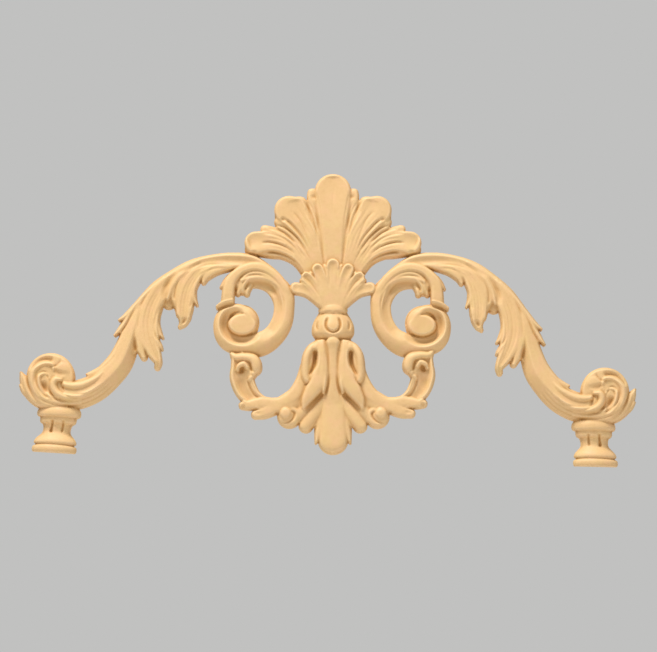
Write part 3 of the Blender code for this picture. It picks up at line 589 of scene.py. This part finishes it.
def arm(relief):
    """The arm from the C-scroll to the volute, with its hanging leaves and outer teeth."""
    relief.ribbons(ROUND, [
        [(45, 29, 2.5, 12), (53.5, 42.5, 3.5, 13), (66.5, 53.5, 4.6, 13.5), (82, 60.2, 7, 13.5),
         (100, 61.4, 8, 13.5), (120, 59.4, 8, 13.5), (140, 54, 8.4, 13.5), (158, 44.4, 8.2, 13.5),
         (175, 32.8, 8, 13.5), (187.5, 18.5, 8.3, 14)],
        [(130, 50, 3.5, 13.7), (138, 37, 3.4, 14), (139.2, 25, 3.4, 13.6), (135.2, 14.6, 1.3, 12.6)],
        [(168, 43, 3, 13.5), (183, 30, 3.5, 14), (194.4, 16.8, 4, 14.5), (205.4, 5.4, 3.5, 14),
         (214.2, 0, 1.2, 13)],
        [(192, 20, 3.5, 14.5), (202, 6.5, 4, 14.5), (210, -6.5, 3.8, 14), (218.3, -15.4, 1.2, 13)],
    ], end="flat")
    relief.ribbon(STEM_ROWS, STEM, end="flat")
    relief.ribbons(FLAT, [
        [(143, 54, 8, 12.5), (149.5, 42, 12, 13.4), (151.5, 29, 13.6, 13.8), (150.5, 18, 10, 13.6),
         (148.6, 6, 7, 12.8), (149.6, -1.6, 4.2, 10.6)],
        [(82, 57.6, 2, 12), (90, 57.6, 3.6, 12.4), (99, 57, 5.5, 12.8), (116, 52.3, 5.6, 13.2),
         (126, 45.4, 4.6, 13.2), (129.3, 39, 2.6, 12.4)],
        [(183, 26, 3, 14), (191, 9, 4, 15), (194, -9, 4.6, 15.4), (192.6, -25, 5, 15.4),
         (188.4, -36.4, 3.7, 14.5)],
    ])
    relief.ribbons(FAN, [HIGH_LEAF, LOW_LEAF])
    relief.ribbons(ROUND, [
        [(133, 60, 3.5, 13.6), (146, 52, 4.5, 14.2), (156, 41, 5.2, 14.6), (162, 30, 4.6, 14.6),
         (165, 22, 2.2, 14)],
        [(165, 30, 3, 13.5), (173, 14, 3.5, 14), (176, 0, 3.5, 14), (173, -12, 3, 13.5),
         (169.8, -17, 1.6, 13)],
        [(177, -3, 3, 14.5), (176, -18, 3.2, 14.5), (172, -26, 2.6, 14), (170.5, -28.5, 1.6, 13.5)],
        [(160, 40, 6.5, 8.5), (163.5, 25, 7.5, 8.5), (164, 18.8, 7, 8.5)],
    ])
    relief.ribbon([(224, -46, 5, 13), (234, -51, 3.8, 13), (239.8, -53.4, 3.1, 13),
                   (245.3, -55.2, 2.3, 12.6)], FLAT, end="flat")
    relief.settle(1.1)
    relief.cuts([
        [(63, 52.6, 2, 0.6), (71, 56.9, 3, 1.6), (83, 59.9, 3.6, 2.4), (97, 60.7, 4, 2.8),
         (111, 60.7, 4, 2.8), (125, 59.2, 3.6, 2.4), (137, 55.7, 3, 1.8), (147, 51.1, 2.4, 1.2),
         (155, 46.6, 2, 0.8)],
        [(101, 55.9, 1, 0.8), (113, 56.7, 1, 1), (124, 56.2, 1, 1), (134, 53.1, 1, 0.8), (143, 48.6, 1, 0.5)],
        [(105, 52.1, 1, 0.5), (115, 52.4, 1, 0.6), (125, 50.1, 1, 0.5), (133, 45.6, 1, 0.3)],
        [(155, 48.7, 1.5, 1), (163, 40.7, 2.4, 1.8), (167.5, 30.6, 3, 2.2), (169.5, 20.5, 2.6, 1.8)],
    ])
    relief.veins(HIGH_LEAF[2:-2], (-0.66, -0.33, 0, 0.33, 0.66), 0.5)
    relief.cuts([
        [(146, 3.4, 1.6, 0.5), (148, -0.4, 2.4, 1.7), (150.6, -3.6, 1.8, 1.4)],
        [(125, 49.9, 1.4, 0.4), (134, 44.3, 1.4, 0.5), (139.5, 35.3, 1.3, 0.5), (142, 23.1, 1.2, 0.3)],
        [(157, 37.3, 1.2, 0.5), (160.5, 29.2, 1.2, 0.6), (161.5, 22.1, 1, 0.3)],
        [(152, 44.3, 1, 0.4), (156, 35.3, 1, 0.9), (158, 26.2, 1.2, 1.6), (158.5, 20.1, 1.2, 1.8)],
        [(132.5, 36.4, 1.2, 2), (132, 41.5, 1.1, 1.4), (129, 46.5, 1, 0.6)],
        [(142.5, 12.7, 1, 1.4), (141, 17.2, 1, 0.8), (140.5, 23.3, 0.9, 0.3)],
        [(184, 29.2, 1.4, 0.6), (190, 17.1, 1.5, 0.9), (193.5, 1.9, 1.4, 1), (195, -13.2, 1.2, 0.8)],
    ])
    relief.veins(LOW_LEAF[1:-1], (-0.66, -0.33, 0, 0.33, 0.66), 0.5)
    relief.cuts([
        [(170, 17.2, 1.4, 0.5), (176, 5, 1.5, 0.8), (178.5, -8.1, 1.4, 1), (176, -16.7, 1.2, 1.5),
         (172, -21.2, 1, 1.5)],
        [(177, -20.3, 1, 0.4), (174, -26.3, 1, 0.9), (170.5, -32.9, 1, 1.2)],
        [(187.7, -28.7, 1, 0.5), (186.5, -34.3, 1.5, 1.6), (185, -39.3, 1.8, 2)],
        [(197, -16, 1, 0.8), (196.8, -24, 2, 2.4), (195.5, -31.1, 2.2, 3.4)],
        [(187, 24.4, 1, 0.3), (194, 17.4, 1.1, 0.8), (200.5, 6.3, 1.2, 1.2), (205.5, -3.8, 1.2, 1.4),
         (211, -11.4, 1.4, 2)],
        [(203, 7.3, 1, 0.5), (209, -0.8, 1, 0.8), (213.5, -4.9, 1.1, 1.4)],
    ])
    relief.veins(STEM_ROWS[5:], (-0.74, -0.5, -0.28), 1.2)
    relief.veins(STEM_ROWS[2:6], (0.2, 0.55), 0.2)
    relief.cut([(215, -33.4, 0.9, 0.3), (225, -44.5, 1, 0.6), (234, -51.6, 1, 0.9), (241, -57.1, 1.1, 1.3),
                (249, -61, 1.1, 1.3), (255, -62.7, 1, 0.8)])


def volute(relief):
    """The round head over the foot, wrapped by curling leaves."""
    relief.boss((280.8, -57), 24, 16.5, LIP)
    relief.boss((269.8, -51), 11, 18)
    relief.boss((272, -78), 11, 16.4)
    relief.ribbons(ROUND, [
        [(250, -78, 7, 15), (262, -79, 8, 16.5), (275, -81.5, 8.4, 17.4), (289.5, -79.4, 8.6, 16.5),
         (300.5, -71, 8, 15), (306.6, -61, 5.6, 14), (310.8, -51.6, 1.4, 13)],
        [(296, -77, 5, 13), (306, -71, 4, 13), (311.8, -64, 1.2, 12)],
    ], end="flat")
    relief.ribbons(ROUND, [
        [(270, -80, 4, 17), (289, -77, 5, 18), (298, -64, 5, 18.5), (298, -52, 4.5, 19),
         (291.5, -44.5, 4, 19.5), (284, -43, 3.5, 19.5), (278.5, -46, 3, 19), (277.5, -51, 2.2, 18)],
        [(272, -79, 3, 18), (284, -75, 3.5, 18.5), (291, -66, 3, 19), (292, -57, 2.5, 19.5),
         (288, -53.5, 2.2, 19.5), (283.5, -55, 2, 19), (281.5, -59, 1.5, 18)],
        [(222, -57, 2, 15.5), (232, -65, 2.8, 17.5), (246, -74, 3.2, 19), (262, -77, 4, 20),
         (273.5, -74, 5, 20.5), (278, -66, 5, 20.5), (275.5, -60, 4.5, 20.5), (270.5, -60, 2.5, 20)],
        [(228, -52, 3, 16), (236, -59, 4, 18), (248, -65, 5, 19), (258, -66.5, 5, 19.5), (267, -65, 4, 19.6)],
    ])
    relief.settle(1.8)
    relief.cuts([
        [(301, -50.5, 2, 1.2), (298, -45.5, 3.2, 2.7), (293, -41.8, 4, 3.4), (287, -40.2, 4.2, 3.2),
         (281, -40, 3.4, 2.2), (277.5, -41, 2.2, 0.8)],
        [(283, -43.9, 1, 0.8), (279, -46.8, 1.1, 1.5), (275, -46.1, 1, 1.3), (271.5, -42.4, 1, 1),
         (270.2, -37.9, 0.9, 0.5)],
        [(277, -48.8, 1.6, 1.3), (274, -52.9, 3, 2), (268, -54.4, 3, 1.4), (262, -53.9, 2, 0.6)],
        [(292, -57.2, 1, 1), (290.5, -54, 1.4, 2), (287, -52.8, 1.5, 2.4), (283.7, -55.2, 1.4, 2.4),
         (282, -59.2, 1.3, 1.8)],
        [(288, -61.1, 3, 2.6), (286.5, -68.2, 3.6, 3.4), (285, -75.2, 2.6, 2.4), (281.5, -79.3, 1.6, 1.2)],
        [(272, -60.9, 1, 0.6), (269.5, -63.9, 1.8, 1.3), (268.2, -67.9, 1.8, 1.5), (266.5, -71, 1.2, 0.9)],
        [(266, -71.5, 1, 1), (260, -74, 1.1, 1.5), (253, -75, 1.1, 1.5), (245, -74.5, 1.1, 1.4),
         (237, -71.9, 1, 1), (229, -67.5, 0.9, 0.5)],
        [(271, -71.7, 1, 0.8), (266, -76, 1.1, 1.4), (258, -78.5, 1.2, 1.7), (249, -78.7, 1.2, 1.7),
         (240, -76.6, 1.1, 1.3), (232, -73.2, 1, 0.7), (225, -69.2, 0.9, 0.4)],
        [(282.5, -66.1, 1, 0.8), (281.5, -72.1, 1.3, 1.6), (277.5, -77.5, 1.4, 1.8), (271, -80.8, 1.2, 1.6),
         (263, -82, 1.2, 1.5), (253, -81.5, 1.1, 1.3), (243, -79.2, 1, 0.7)],
        [(292, -77.1, 1, 0.6), (286, -81.9, 1.1, 1), (278, -84.5, 1.1, 1.2), (269, -85.5, 1.1, 1.2),
         (259, -85, 1, 0.9)],
        [(302.5, -50.6, 0.9, 0.8), (303.7, -58.7, 1.1, 1.4), (302.2, -67.7, 1.1, 1.4),
         (298.5, -75.8, 1.1, 1.2), (293, -82.4, 1, 1), (287, -86.9, 1, 0.6)],
        [(309, -55, 0.9, 0.7), (308.5, -63.6, 1, 1), (306, -71.6, 1, 1), (301, -78.7, 1, 0.8)],
        [(296.5, -55.8, 0.9, 0.6), (297, -64.9, 1, 0.8), (294, -72.9, 1, 0.8), (289, -78.5, 1, 0.7)],
    ])


FOOT_TOP = (271.4, -84.5)
FOOT_TALL = 47.5
FOOT_LEAN = math.radians(7.5)
RING_TILT = math.radians(3.5)
FOOT_ROWS = ((2, 18.6), (4, 20.4), (6, 21.4), (8.5, 21.75), (11, 21.2), (12.2, 19.2), (13, 18.2), (16, 18),
             (18, 17.2), (19.5, 15), (22, 13.8), (26, 13.6), (29, 14.8), (32, 17.6), (34.5, 19.8), (37, 21),
             (38.8, 20.8), (39.7, 19.4), (40.7, 19.4), (41.7, 21.4), (44, 22.1), (46.3, 21.8), (47.5, 20.9))


def foot(relief):
    """The short turned foot, half in the round."""
    sole = (FOOT_TOP[0] + math.sin(FOOT_LEAN) * FOOT_TALL, FOOT_TOP[1] - math.cos(FOOT_LEAN) * FOOT_TALL)
    droop = ARM_DROOP if relief.flex is droop_arm else 0
    turned(relief, FOOT_TOP, sole, FOOT_ROWS, 0.8, RING_TILT - droop)
    relief.cuts([
        [(278.2, -99.3, 1.8, 2), (278.4, -101.3, 1.8, 2.6), (278.8, -104.7, 1.2, 2.6),
         (279.7, -108.2, 1.4, 3), (280.1, -111, 1.8, 3.2), (280.2, -112.5, 1.4, 2)],
        [(267.6, -100, 1.2, 1.6), (267.7, -101.9, 1.4, 2.2), (268.2, -105.7, 1.2, 2.2),
         (269, -109.7, 1.3, 2.2), (269.2, -112.8, 1, 1.6)],
    ])


def branch(relief):
    """The leafy branch that joins the drop to the foot of the C-scroll."""
    relief.ribbons(FLAT, [
        [(28.5, -44, 4, 12), (31.5, -60, 6, 12.6), (38, -74, 7.6, 13), (50, -82.5, 6.6, 12.8),
         (60, -83.6, 6.6, 12.6)],
        [(40, -74, 6, 12), (55, -83, 6, 12.6), (70, -82.6, 6.6, 13), (83, -84.4, 5.4, 13),
         (89.8, -84.8, 4.2, 12.5)],
        [(36, -76, 6, 12), (46, -83, 9, 12.4), (57, -86, 8, 12.8), (68, -91.6, 6.5, 13),
         (77, -94, 4.6, 12.5)],
    ])
    relief.ribbon([(54, -83, 6.2, 12.4), (67.5, -83.6, 7.2, 13), (79, -78.5, 9.5, 13),
                   (86.7, -69, 11.4, 13.5), (91, -57, 12, 14), (92.3, -46, 9.8, 14), (94, -38, 8, 13.5),
                   (98, -30, 6, 12)], COVE, end="flat")
    relief.ribbons(ROUND, [
        [(101, -34, 3, 13), (96, -37, 4.5, 15), (88, -37, 5, 16.5), (79.5, -40, 6.5, 17.5),
         (76.7, -47.5, 6.4, 17), (79, -53, 4, 15)],
        [(95, -51, 2.5, 14), (93.4, -46, 3, 15.8), (88.6, -43.6, 3.4, 16.2), (85.2, -47.4, 3, 15.4)],
        [(84.5, -61, 2, 12.6), (82, -57.6, 3.2, 13.8), (79.8, -55.8, 3, 13.4)],
    ])
    relief.boss((43.5, -95.5), 12.2, 12.5)
    relief.boss((47, -93), 6.5, 15.5)
    relief.settle(1.3)
    relief.cut([(88, -40.1, 1, 0.8), (83.5, -42.1, 1.2, 1.8), (81.5, -46.7, 1.2, 2), (80.5, -50.7, 1.1, 1.6),
                (76, -52.7, 1, 0.8)])
    relief.dish((91.5, -49.9), 4.6, 3.4)
    relief.cuts([
        [(85.5, -56, 1.1, 0.8), (83.5, -65, 1.3, 1.7), (79.4, -73, 1.3, 1.4), (73, -79, 1, 0.6)],
        [(81, -58, 0.9, 0.6), (79, -66, 1, 0.9), (74, -74, 0.9, 0.6)],
        [(91, -56.4, 4, 1), (91.5, -65.4, 5, 1.4), (88, -73.5, 5, 1.3), (80, -79.6, 4, 0.8)],
        [(96.5, -76, 1, 0.9), (90, -79.4, 1.1, 1.4), (83.5, -80.6, 1, 0.8)],
    ])
    relief.dish((89.5, -86.9), 3.2, 2.2)
    relief.cut([(81, -91.1, 1.2, 1.6), (75, -89, 1.1, 0.9), (67, -88.5, 1, 0.4)])
    relief.dish((74.5, -93.2), 5, 0.8, squeeze=0.5)
    relief.dish((56, -93.4), 2.8, 2.2)
    relief.cut([(42, -90.4, 1.2, 1), (38.4, -93, 1.6, 2.4), (39.4, -97.9, 1.3, 2.2), (43.5, -101.6, 1.1, 1.8),
                (49, -102.7, 1, 1.3), (53, -101.2, 0.9, 0.8)])


def blurred(field, radius):
    """The field under a small Gaussian blur, by rows and by columns."""
    reach = max(1, math.ceil(3 * radius / CELL))
    steps = np.arange(-reach, reach + 1) * CELL
    weights = np.exp(-0.5 * (steps / radius) ** 2)
    weights /= weights.sum()
    for axis in (0, 1):
        padded = np.pad(field, [(reach, reach) if a == axis else (0, 0) for a in (0, 1)], mode="edge")
        size = field.shape[axis]
        shifted = (np.take(padded, range(k, k + size), axis=axis) for k in range(len(weights)))
        field = sum(weight * moved for weight, moved in zip(weights, shifted))
    return field


def mean_around(height, inside, radius):
    """The carving's mean height round each cell, and how much of the ground there is carving."""
    held = (inside > 0).astype(float)
    share = blurred(held, radius)
    return blurred(height * held, radius) / np.maximum(share, LEAST_SHARE), share


CORE = (crest_shell, small_shell, knot, drop)
WINGS = ((scroll, turn_scroll), (branch, turn_branch), (arm, droop_arm), (volute, droop_arm),
         (foot, droop_arm))


def half_relief(flexed):
    """The carving of one half; on the flexed half the wings are bent."""
    whole = Relief()
    for group in CORE:
        part = Relief()
        group(part)
        whole.add(part)
    for group, flex in WINGS:
        part = Relief(flex if flexed else None)
        group(part)
        whole.add(part)
    return whole


def full_relief():
    """Heights and inside distances over the whole plan, with the left half first."""
    left, right = half_relief(False), half_relief(True)
    height, inside, skirt = (
        np.hstack((getattr(left, name)[:, :0:-1], getattr(right, name)))
        for name in ("height", "inside", "skirt")
    )
    height = np.where(inside > 0, height, skirt)
    held = (inside > -SKIRT + 1e-6).astype(float)
    height = blurred(height * held, SOFTENING) / np.maximum(blurred(held, SOFTENING), 1e-6)
    return np.where(held > 0, height, 0), inside


TRIANGLES, QUICK_TRIANGLES = 188000, 400000
SLIVER = 1e-6  # how far inside the part's box the carving ends, in metres
FRONT_FROM = -0.0005  # the front's vertices lie before this, in metres
SHARP_FROM = math.radians(58)
CORNER_PASSES = 4  # rounds of filling beside cells that touch at a corner only
RIM_REACH = 0.75 * CELL  # how far a rim's grid point may move to meet the outline
RIM_SLOPE = 0.25  # the least slope, squared, that the move is worked out from

# Marks for the painted shade in crevices and hollows and the painted highlight on raised parts: (name, radius
# of the ground compared, depth that counts in full)
PAINTED_LIGHT_MARKS = (("crevice_shade_and_highlight", 1.4, 0.9), ("hollow", 4.0, 3.0))
MARK_FROM, MARK_SPAN = 0.62, 0.3  # where marks start, and how much on they count in full


def kept_quads(inside):
    """The cells whose middle lies inside the outline, with no two that touch at a corner only."""
    middle = (inside[:-1, :-1] + inside[1:, :-1] + inside[:-1, 1:] + inside[1:, 1:]) / 4
    kept = middle > 0
    for _ in range(CORNER_PASSES):
        a, b, c, d = kept[:-1, :-1], kept[:-1, 1:], kept[1:, :-1], kept[1:, 1:]
        crossed = (a & d & ~b & ~c) | (b & c & ~a & ~d)
        if not crossed.any():
            break
        for corner in (a, b, c, d):
            corner |= crossed
    return kept


def snapped(x, z, inside, rim):
    """The rim's grid points, moved onto the outline."""
    slope_z, slope_x = np.gradient(inside, CELL)
    steep = np.maximum(slope_x**2 + slope_z**2, RIM_SLOPE)
    step_x = np.clip(-inside * slope_x / steep, -RIM_REACH, RIM_REACH)
    step_z = np.clip(-inside * slope_z / steep, -RIM_REACH, RIM_REACH)
    return np.where(rim, x + step_x, x), np.where(rim, z + step_z, z)


def walls_of(kept, i, j, quads, count):
    """A quad from front to back along every open side of the kept cells."""
    walls = []
    for side, (di, dj) in enumerate(((-1, 0), (0, 1), (1, 0), (0, -1))):
        ni, nj = i + di, j + dj
        held = (ni >= 0) & (nj >= 0) & (ni < kept.shape[0]) & (nj < kept.shape[1])
        open_side = ~held
        open_side[held] = ~kept[ni[held], nj[held]]
        edge = quads[open_side][:, (side, (side + 1) % 4)]
        walls.append(np.column_stack((edge[:, ::-1], edge + count)))
    return walls


def quad_mesh(name, vertices, faces):
    """A mesh of quads from arrays of places and corner numbers."""
    mesh = bpy.data.meshes.new(name)
    mesh.vertices.add(len(vertices))
    mesh.vertices.foreach_set("co", vertices.ravel())
    mesh.loops.add(faces.size)
    mesh.loops.foreach_set("vertex_index", faces.ravel().astype(np.int32))
    mesh.polygons.add(len(faces))
    mesh.polygons.foreach_set("loop_start", np.arange(0, faces.size, 4, dtype=np.int32))
    mesh.update(calc_edges=True)
    mesh.validate()
    return mesh


def carving_mesh(height, inside, low, high):
    """The closed mesh: carved front, walls down the outline, flat back."""
    x, z = np.meshgrid(np.concatenate((-outs[:0:-1], outs)), ups)
    kept = kept_quads(inside)
    used = np.zeros(inside.shape, int)
    for di in (0, 1):
        for dj in (0, 1):
            used[di:di + kept.shape[0], dj:dj + kept.shape[1]] += kept
    rim = (used > 0) & (used < 4)
    x, z = snapped(x, z, inside, rim)
    nodes = used > 0
    number = np.full(inside.shape, -1)
    number[nodes] = np.arange(nodes.sum())
    count = int(nodes.sum())
    plan, rise = (high.x - low.x) / DRAWN_WIDTH, -low.y / DRAWN_DEPTH
    front = np.column_stack((x[nodes] * plan, -height[nodes] * rise, z[nodes] * plan))
    front = np.clip(front, np.array(low), np.array(high))
    back = front * np.array((1, 0, 1))
    i, j = np.nonzero(kept)
    ring = (number[i, j], number[i, j + 1], number[i + 1, j + 1], number[i + 1, j])
    quads = np.column_stack(ring)
    behind = quads[:, ::-1] + count
    faces = np.vstack((quads, behind, *walls_of(kept, i, j, quads, count)))
    return quad_mesh("frieze_carving", np.vstack((front, back)), faces)


def thinned(piece, triangles):
    """Merges the piece's flattest faces until about the given number of triangles is left."""
    mesh = piece.data
    mesh.calc_loop_triangles()
    ratio = triangles / len(mesh.loop_triangles)
    if ratio < 1:
        thin = piece.modifiers.new("thin", "DECIMATE")
        thin.ratio = ratio
        graph = bpy.context.evaluated_depsgraph_get()
        piece.data = bpy.data.meshes.new_from_object(piece.evaluated_get(graph))
        piece.modifiers.clear()


def places_of(mesh):
    """The places of the mesh's vertices, a row each."""
    co = np.empty(len(mesh.vertices) * 3)
    mesh.vertices.foreach_get("co", co)
    return co.reshape(-1, 3)


def field_at(field, mesh):
    """A field of the plan, read at each vertex of the mesh; 0 on the back."""
    co = places_of(mesh)
    span = (cad_box[1].x - cad_box[0].x) / DRAWN_WIDTH
    j = np.clip((co[:, 0] / span + outs[-1]) / CELL, 0, field.shape[1] - 1.001)
    i = np.clip((co[:, 2] / span - UP_LOW) / CELL, 0, field.shape[0] - 1.001)
    i0, j0 = i.astype(int), j.astype(int)
    fi, fj = i - i0, j - j0
    found = ((field[i0, j0] * (1 - fj) + field[i0, j0 + 1] * fj) * (1 - fi)
             + (field[i0 + 1, j0] * (1 - fj) + field[i0 + 1, j0 + 1] * fj) * fi)
    return np.where(co[:, 1] < FRONT_FROM, found, 0)


def kept_inside(mesh, low, high):
    """Moves the vertices that merging has put past the part's box back onto it."""
    co = np.clip(places_of(mesh), np.array(low) + SLIVER, np.array(high) - (SLIVER, 0, SLIVER))
    mesh.vertices.foreach_set("co", co.ravel())
    mesh.update()


def hollowness(height, inside, radius):
    """How far each cell lies below the carving around it."""
    mean, share = mean_around(height, inside, radius)
    return (mean - height) * np.clip((share - MARK_FROM) / MARK_SPAN, 0, 1)


def make_carving():
    """The whole carving: its mesh, its marks for the painted shade and highlight, and its material."""
    low, high = cad_box
    height, inside = full_relief()
    mesh = carving_mesh(height, inside, low, high)
    piece = bpy.data.objects.new("frieze_carving", mesh)
    bpy.context.collection.objects.link(piece)
    thinned(piece, TRIANGLES)
    mesh = piece.data
    mesh.name = "frieze_carving"
    kept_inside(mesh, low, high)
    # Depth below the carving around each vertex, stored for the painted shade in crevices and hollows and the
    # painted highlight on raised parts.
    for name, radius, depth in PAINTED_LIGHT_MARKS:
        found = field_at(hollowness(height, inside, radius), mesh)
        layer = mesh.attributes.new(name, "FLOAT", "POINT")
        layer.data.foreach_set("value", np.clip(found / depth, -1, 1).astype(np.float32))
    mesh.polygons.foreach_set("use_smooth", [True] * len(mesh.polygons))
    mesh.set_sharp_from_angle(angle=SHARP_FROM)
    piece.data.materials.append(wood_material())
    return piece


ALBEDO = (0.685, 0.452, 0.212)
# Mottling: (noise scale, detail, roughness, value from, to, strength, colour)
PATCHES = (
    (38, 4, 0.6, 0.35, 0.68, 0.5, (0.69, 0.43, 0.20)),
    (16, 3, 0.5, 0.45, 0.72, 0.5, (0.63, 0.385, 0.155)),
    (260, 3, 0.65, 0.42, 0.7, 0.4, (0.60, 0.37, 0.155)),
    (85, 2, 0.5, 0.5, 0.68, 0.4, (0.74, 0.44, 0.235)),
    (70, 2, 0.5, 0.52, 0.7, 0.4, (0.67, 0.475, 0.19)),
)
# Painted shade in hollows and crevices, and a painted highlight on raised parts: (mark, value from, to,
# strength, colour)
PAINTED_LIGHT_TINTS = (
    # Painted shade: browner and darker in broad hollows and in crevices.
    ("hollow", 0.08, 0.9, 0.5, (0.515, 0.278, 0.082)),
    ("crevice_shade_and_highlight", 0.1, 1.0, 0.85, (0.40, 0.19, 0.042)),
    # Painted highlight: paler where the carving stands above the ground around it.
    ("crevice_shade_and_highlight", -0.15, -0.8, 0.35, (0.82, 0.60, 0.35)),
)


def wood_material():
    """Moulded wood composite: pale tan and faintly mottled, with painted shade darkening its crevices and
    hollows and a painted highlight on its raised parts.
    """
    material = bpy.data.materials.new("moulded_wood")
    material.use_nodes = True
    nodes, links = material.node_tree.nodes, material.node_tree.links
    shader = nodes["Principled BSDF"]
    place = nodes.new("ShaderNodeTexCoord")

    def attribute(name):
        node = nodes.new("ShaderNodeAttribute")
        node.attribute_name = name
        return node.outputs["Fac"]

    def noise(scale, detail, roughness, stretch=(1, 1, 1)):
        mapping = nodes.new("ShaderNodeMapping")
        mapping.inputs["Scale"].default_value = stretch
        links.new(place.outputs["Object"], mapping.inputs["Vector"])
        node = nodes.new("ShaderNodeTexNoise")
        node.inputs["Scale"].default_value = scale
        node.inputs["Detail"].default_value = detail
        node.inputs["Roughness"].default_value = roughness
        links.new(mapping.outputs[0], node.inputs["Vector"])
        return node.outputs["Fac"]

    def ramp(value, low, high, to_low, to_high):
        node = nodes.new("ShaderNodeMapRange")
        node.inputs["From Min"].default_value = low
        node.inputs["From Max"].default_value = high
        node.inputs["To Min"].default_value = to_low
        node.inputs["To Max"].default_value = to_high
        links.new(value, node.inputs["Value"])
        return node.outputs[0]

    def mixed(share, first, second):
        node = nodes.new("ShaderNodeMix")
        node.data_type = "RGBA"
        links.new(share, node.inputs["Factor"])
        colours = [socket for socket in node.inputs if socket.type == "RGBA"]
        for value, socket in zip((first, second), colours):
            if isinstance(value, tuple):
                socket.default_value = (*value, 1)
            else:
                links.new(value, socket)
        return next(s for s in node.outputs if s.type == "RGBA")

    colour = ALBEDO
    for scale, detail, roughness, low, high, strength, tint in PATCHES:
        colour = mixed(ramp(noise(scale, detail, roughness), low, high, 0, strength), colour, tint)
    # Painted shade darkens the crevices and hollows, and a painted highlight lightens the raised parts.
    for name, low, high, strength, tint in PAINTED_LIGHT_TINTS:
        colour = mixed(ramp(attribute(name), low, high, 0, strength), colour, tint)
    links.new(colour, shader.inputs["Base Color"])
    links.new(ramp(noise(60, 3, 0.6), 0.3, 0.7, 0.52, 0.66), shader.inputs["Roughness"])
    bump = nodes.new("ShaderNodeBump")
    bump.inputs["Strength"].default_value = 0.18
    bump.inputs["Distance"].default_value = 0.0006
    links.new(noise(900, 3, 0.6, (0.35, 1, 1)), bump.inputs["Height"])
    links.new(bump.outputs[0], shader.inputs["Normal"])
    return material


CAMERA_RISE = math.radians(-8)
CAMERA_FAR = 3.5
PICTURE_WIDTH = 0.657  # what the picture spans, in metres
SENSOR = 36
AIM = (-0.0045, 0, -0.0040)


def add_camera():
    """A long lens from a little below, as the photograph was taken."""
    camera = bpy.data.objects.new("camera", bpy.data.cameras.new("camera"))
    bpy.context.collection.objects.link(camera)
    back = Vector((0, -math.cos(CAMERA_RISE), math.sin(CAMERA_RISE)))
    over = Vector((0, math.sin(CAMERA_RISE), math.cos(CAMERA_RISE)))
    camera.location = Vector((AIM[0], 0, 0)) + over * AIM[2] + back * CAMERA_FAR
    camera.rotation_euler = (math.radians(90) - CAMERA_RISE, 0, 0)
    camera.data.sensor_width = SENSOR
    camera.data.lens = SENSOR * CAMERA_FAR / PICTURE_WIDTH
    camera.data.clip_end = 50
    bpy.context.scene.camera = camera


def add_light(name, place, size, power, colour):
    """A rectangular lamp that faces the carving."""
    lamp = bpy.data.lights.new(name, "AREA")
    lamp.shape = "RECTANGLE"
    lamp.size, lamp.size_y = size
    lamp.energy = power
    lamp.color = colour
    light = bpy.data.objects.new(name, lamp)
    bpy.context.collection.objects.link(light)
    light.location = place
    light.rotation_euler = (Vector((0, 0, 0)) - Vector(place)).to_track_quat("-Z", "Y").to_euler()


FLOOR_REACH = 6
FLOOR_UP = -0.62


def add_floor():
    """A plain pale ground below the carving."""
    mesh = bpy.data.meshes.new("floor")
    corners = [(x * FLOOR_REACH, y * FLOOR_REACH, 0) for x, y in ((-1, -1), (1, -1), (1, 1), (-1, 1))]
    mesh.from_pydata(corners, [], [(0, 1, 2, 3)])
    floor = bpy.data.objects.new("floor", mesh)
    floor.location = (0, 0, FLOOR_UP)
    bpy.context.collection.objects.link(floor)
    material = bpy.data.materials.new("pale_floor")
    material.use_nodes = True
    shader = material.node_tree.nodes["Principled BSDF"]
    shader.inputs["Base Color"].default_value = (0.82, 0.81, 0.79, 1)
    shader.inputs["Roughness"].default_value = 0.8
    mesh.materials.append(material)


def add_world():
    """An even pale surround."""
    world = bpy.data.worlds.new("studio")
    bpy.context.scene.world = world
    world.use_nodes = True
    shader = world.node_tree.nodes["Background"]
    shader.inputs["Color"].default_value = (0.86, 0.86, 0.85, 1)
    shader.inputs["Strength"].default_value = 0.62


carving = make_carving()
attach(carving, "root")
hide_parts("frieze")
add_floor()
add_camera()
add_world()
add_light("key", place=(-0.65, -1.05, 2.4), size=(0.7, 0.7), power=84, colour=(1.0, 0.97, 0.92))
add_light("fill", place=(0.6, -2.6, 0.9), size=(1.6, 1.6), power=10, colour=(1.0, 0.98, 0.95))
bpy.context.scene.view_settings.view_transform = "Standard"
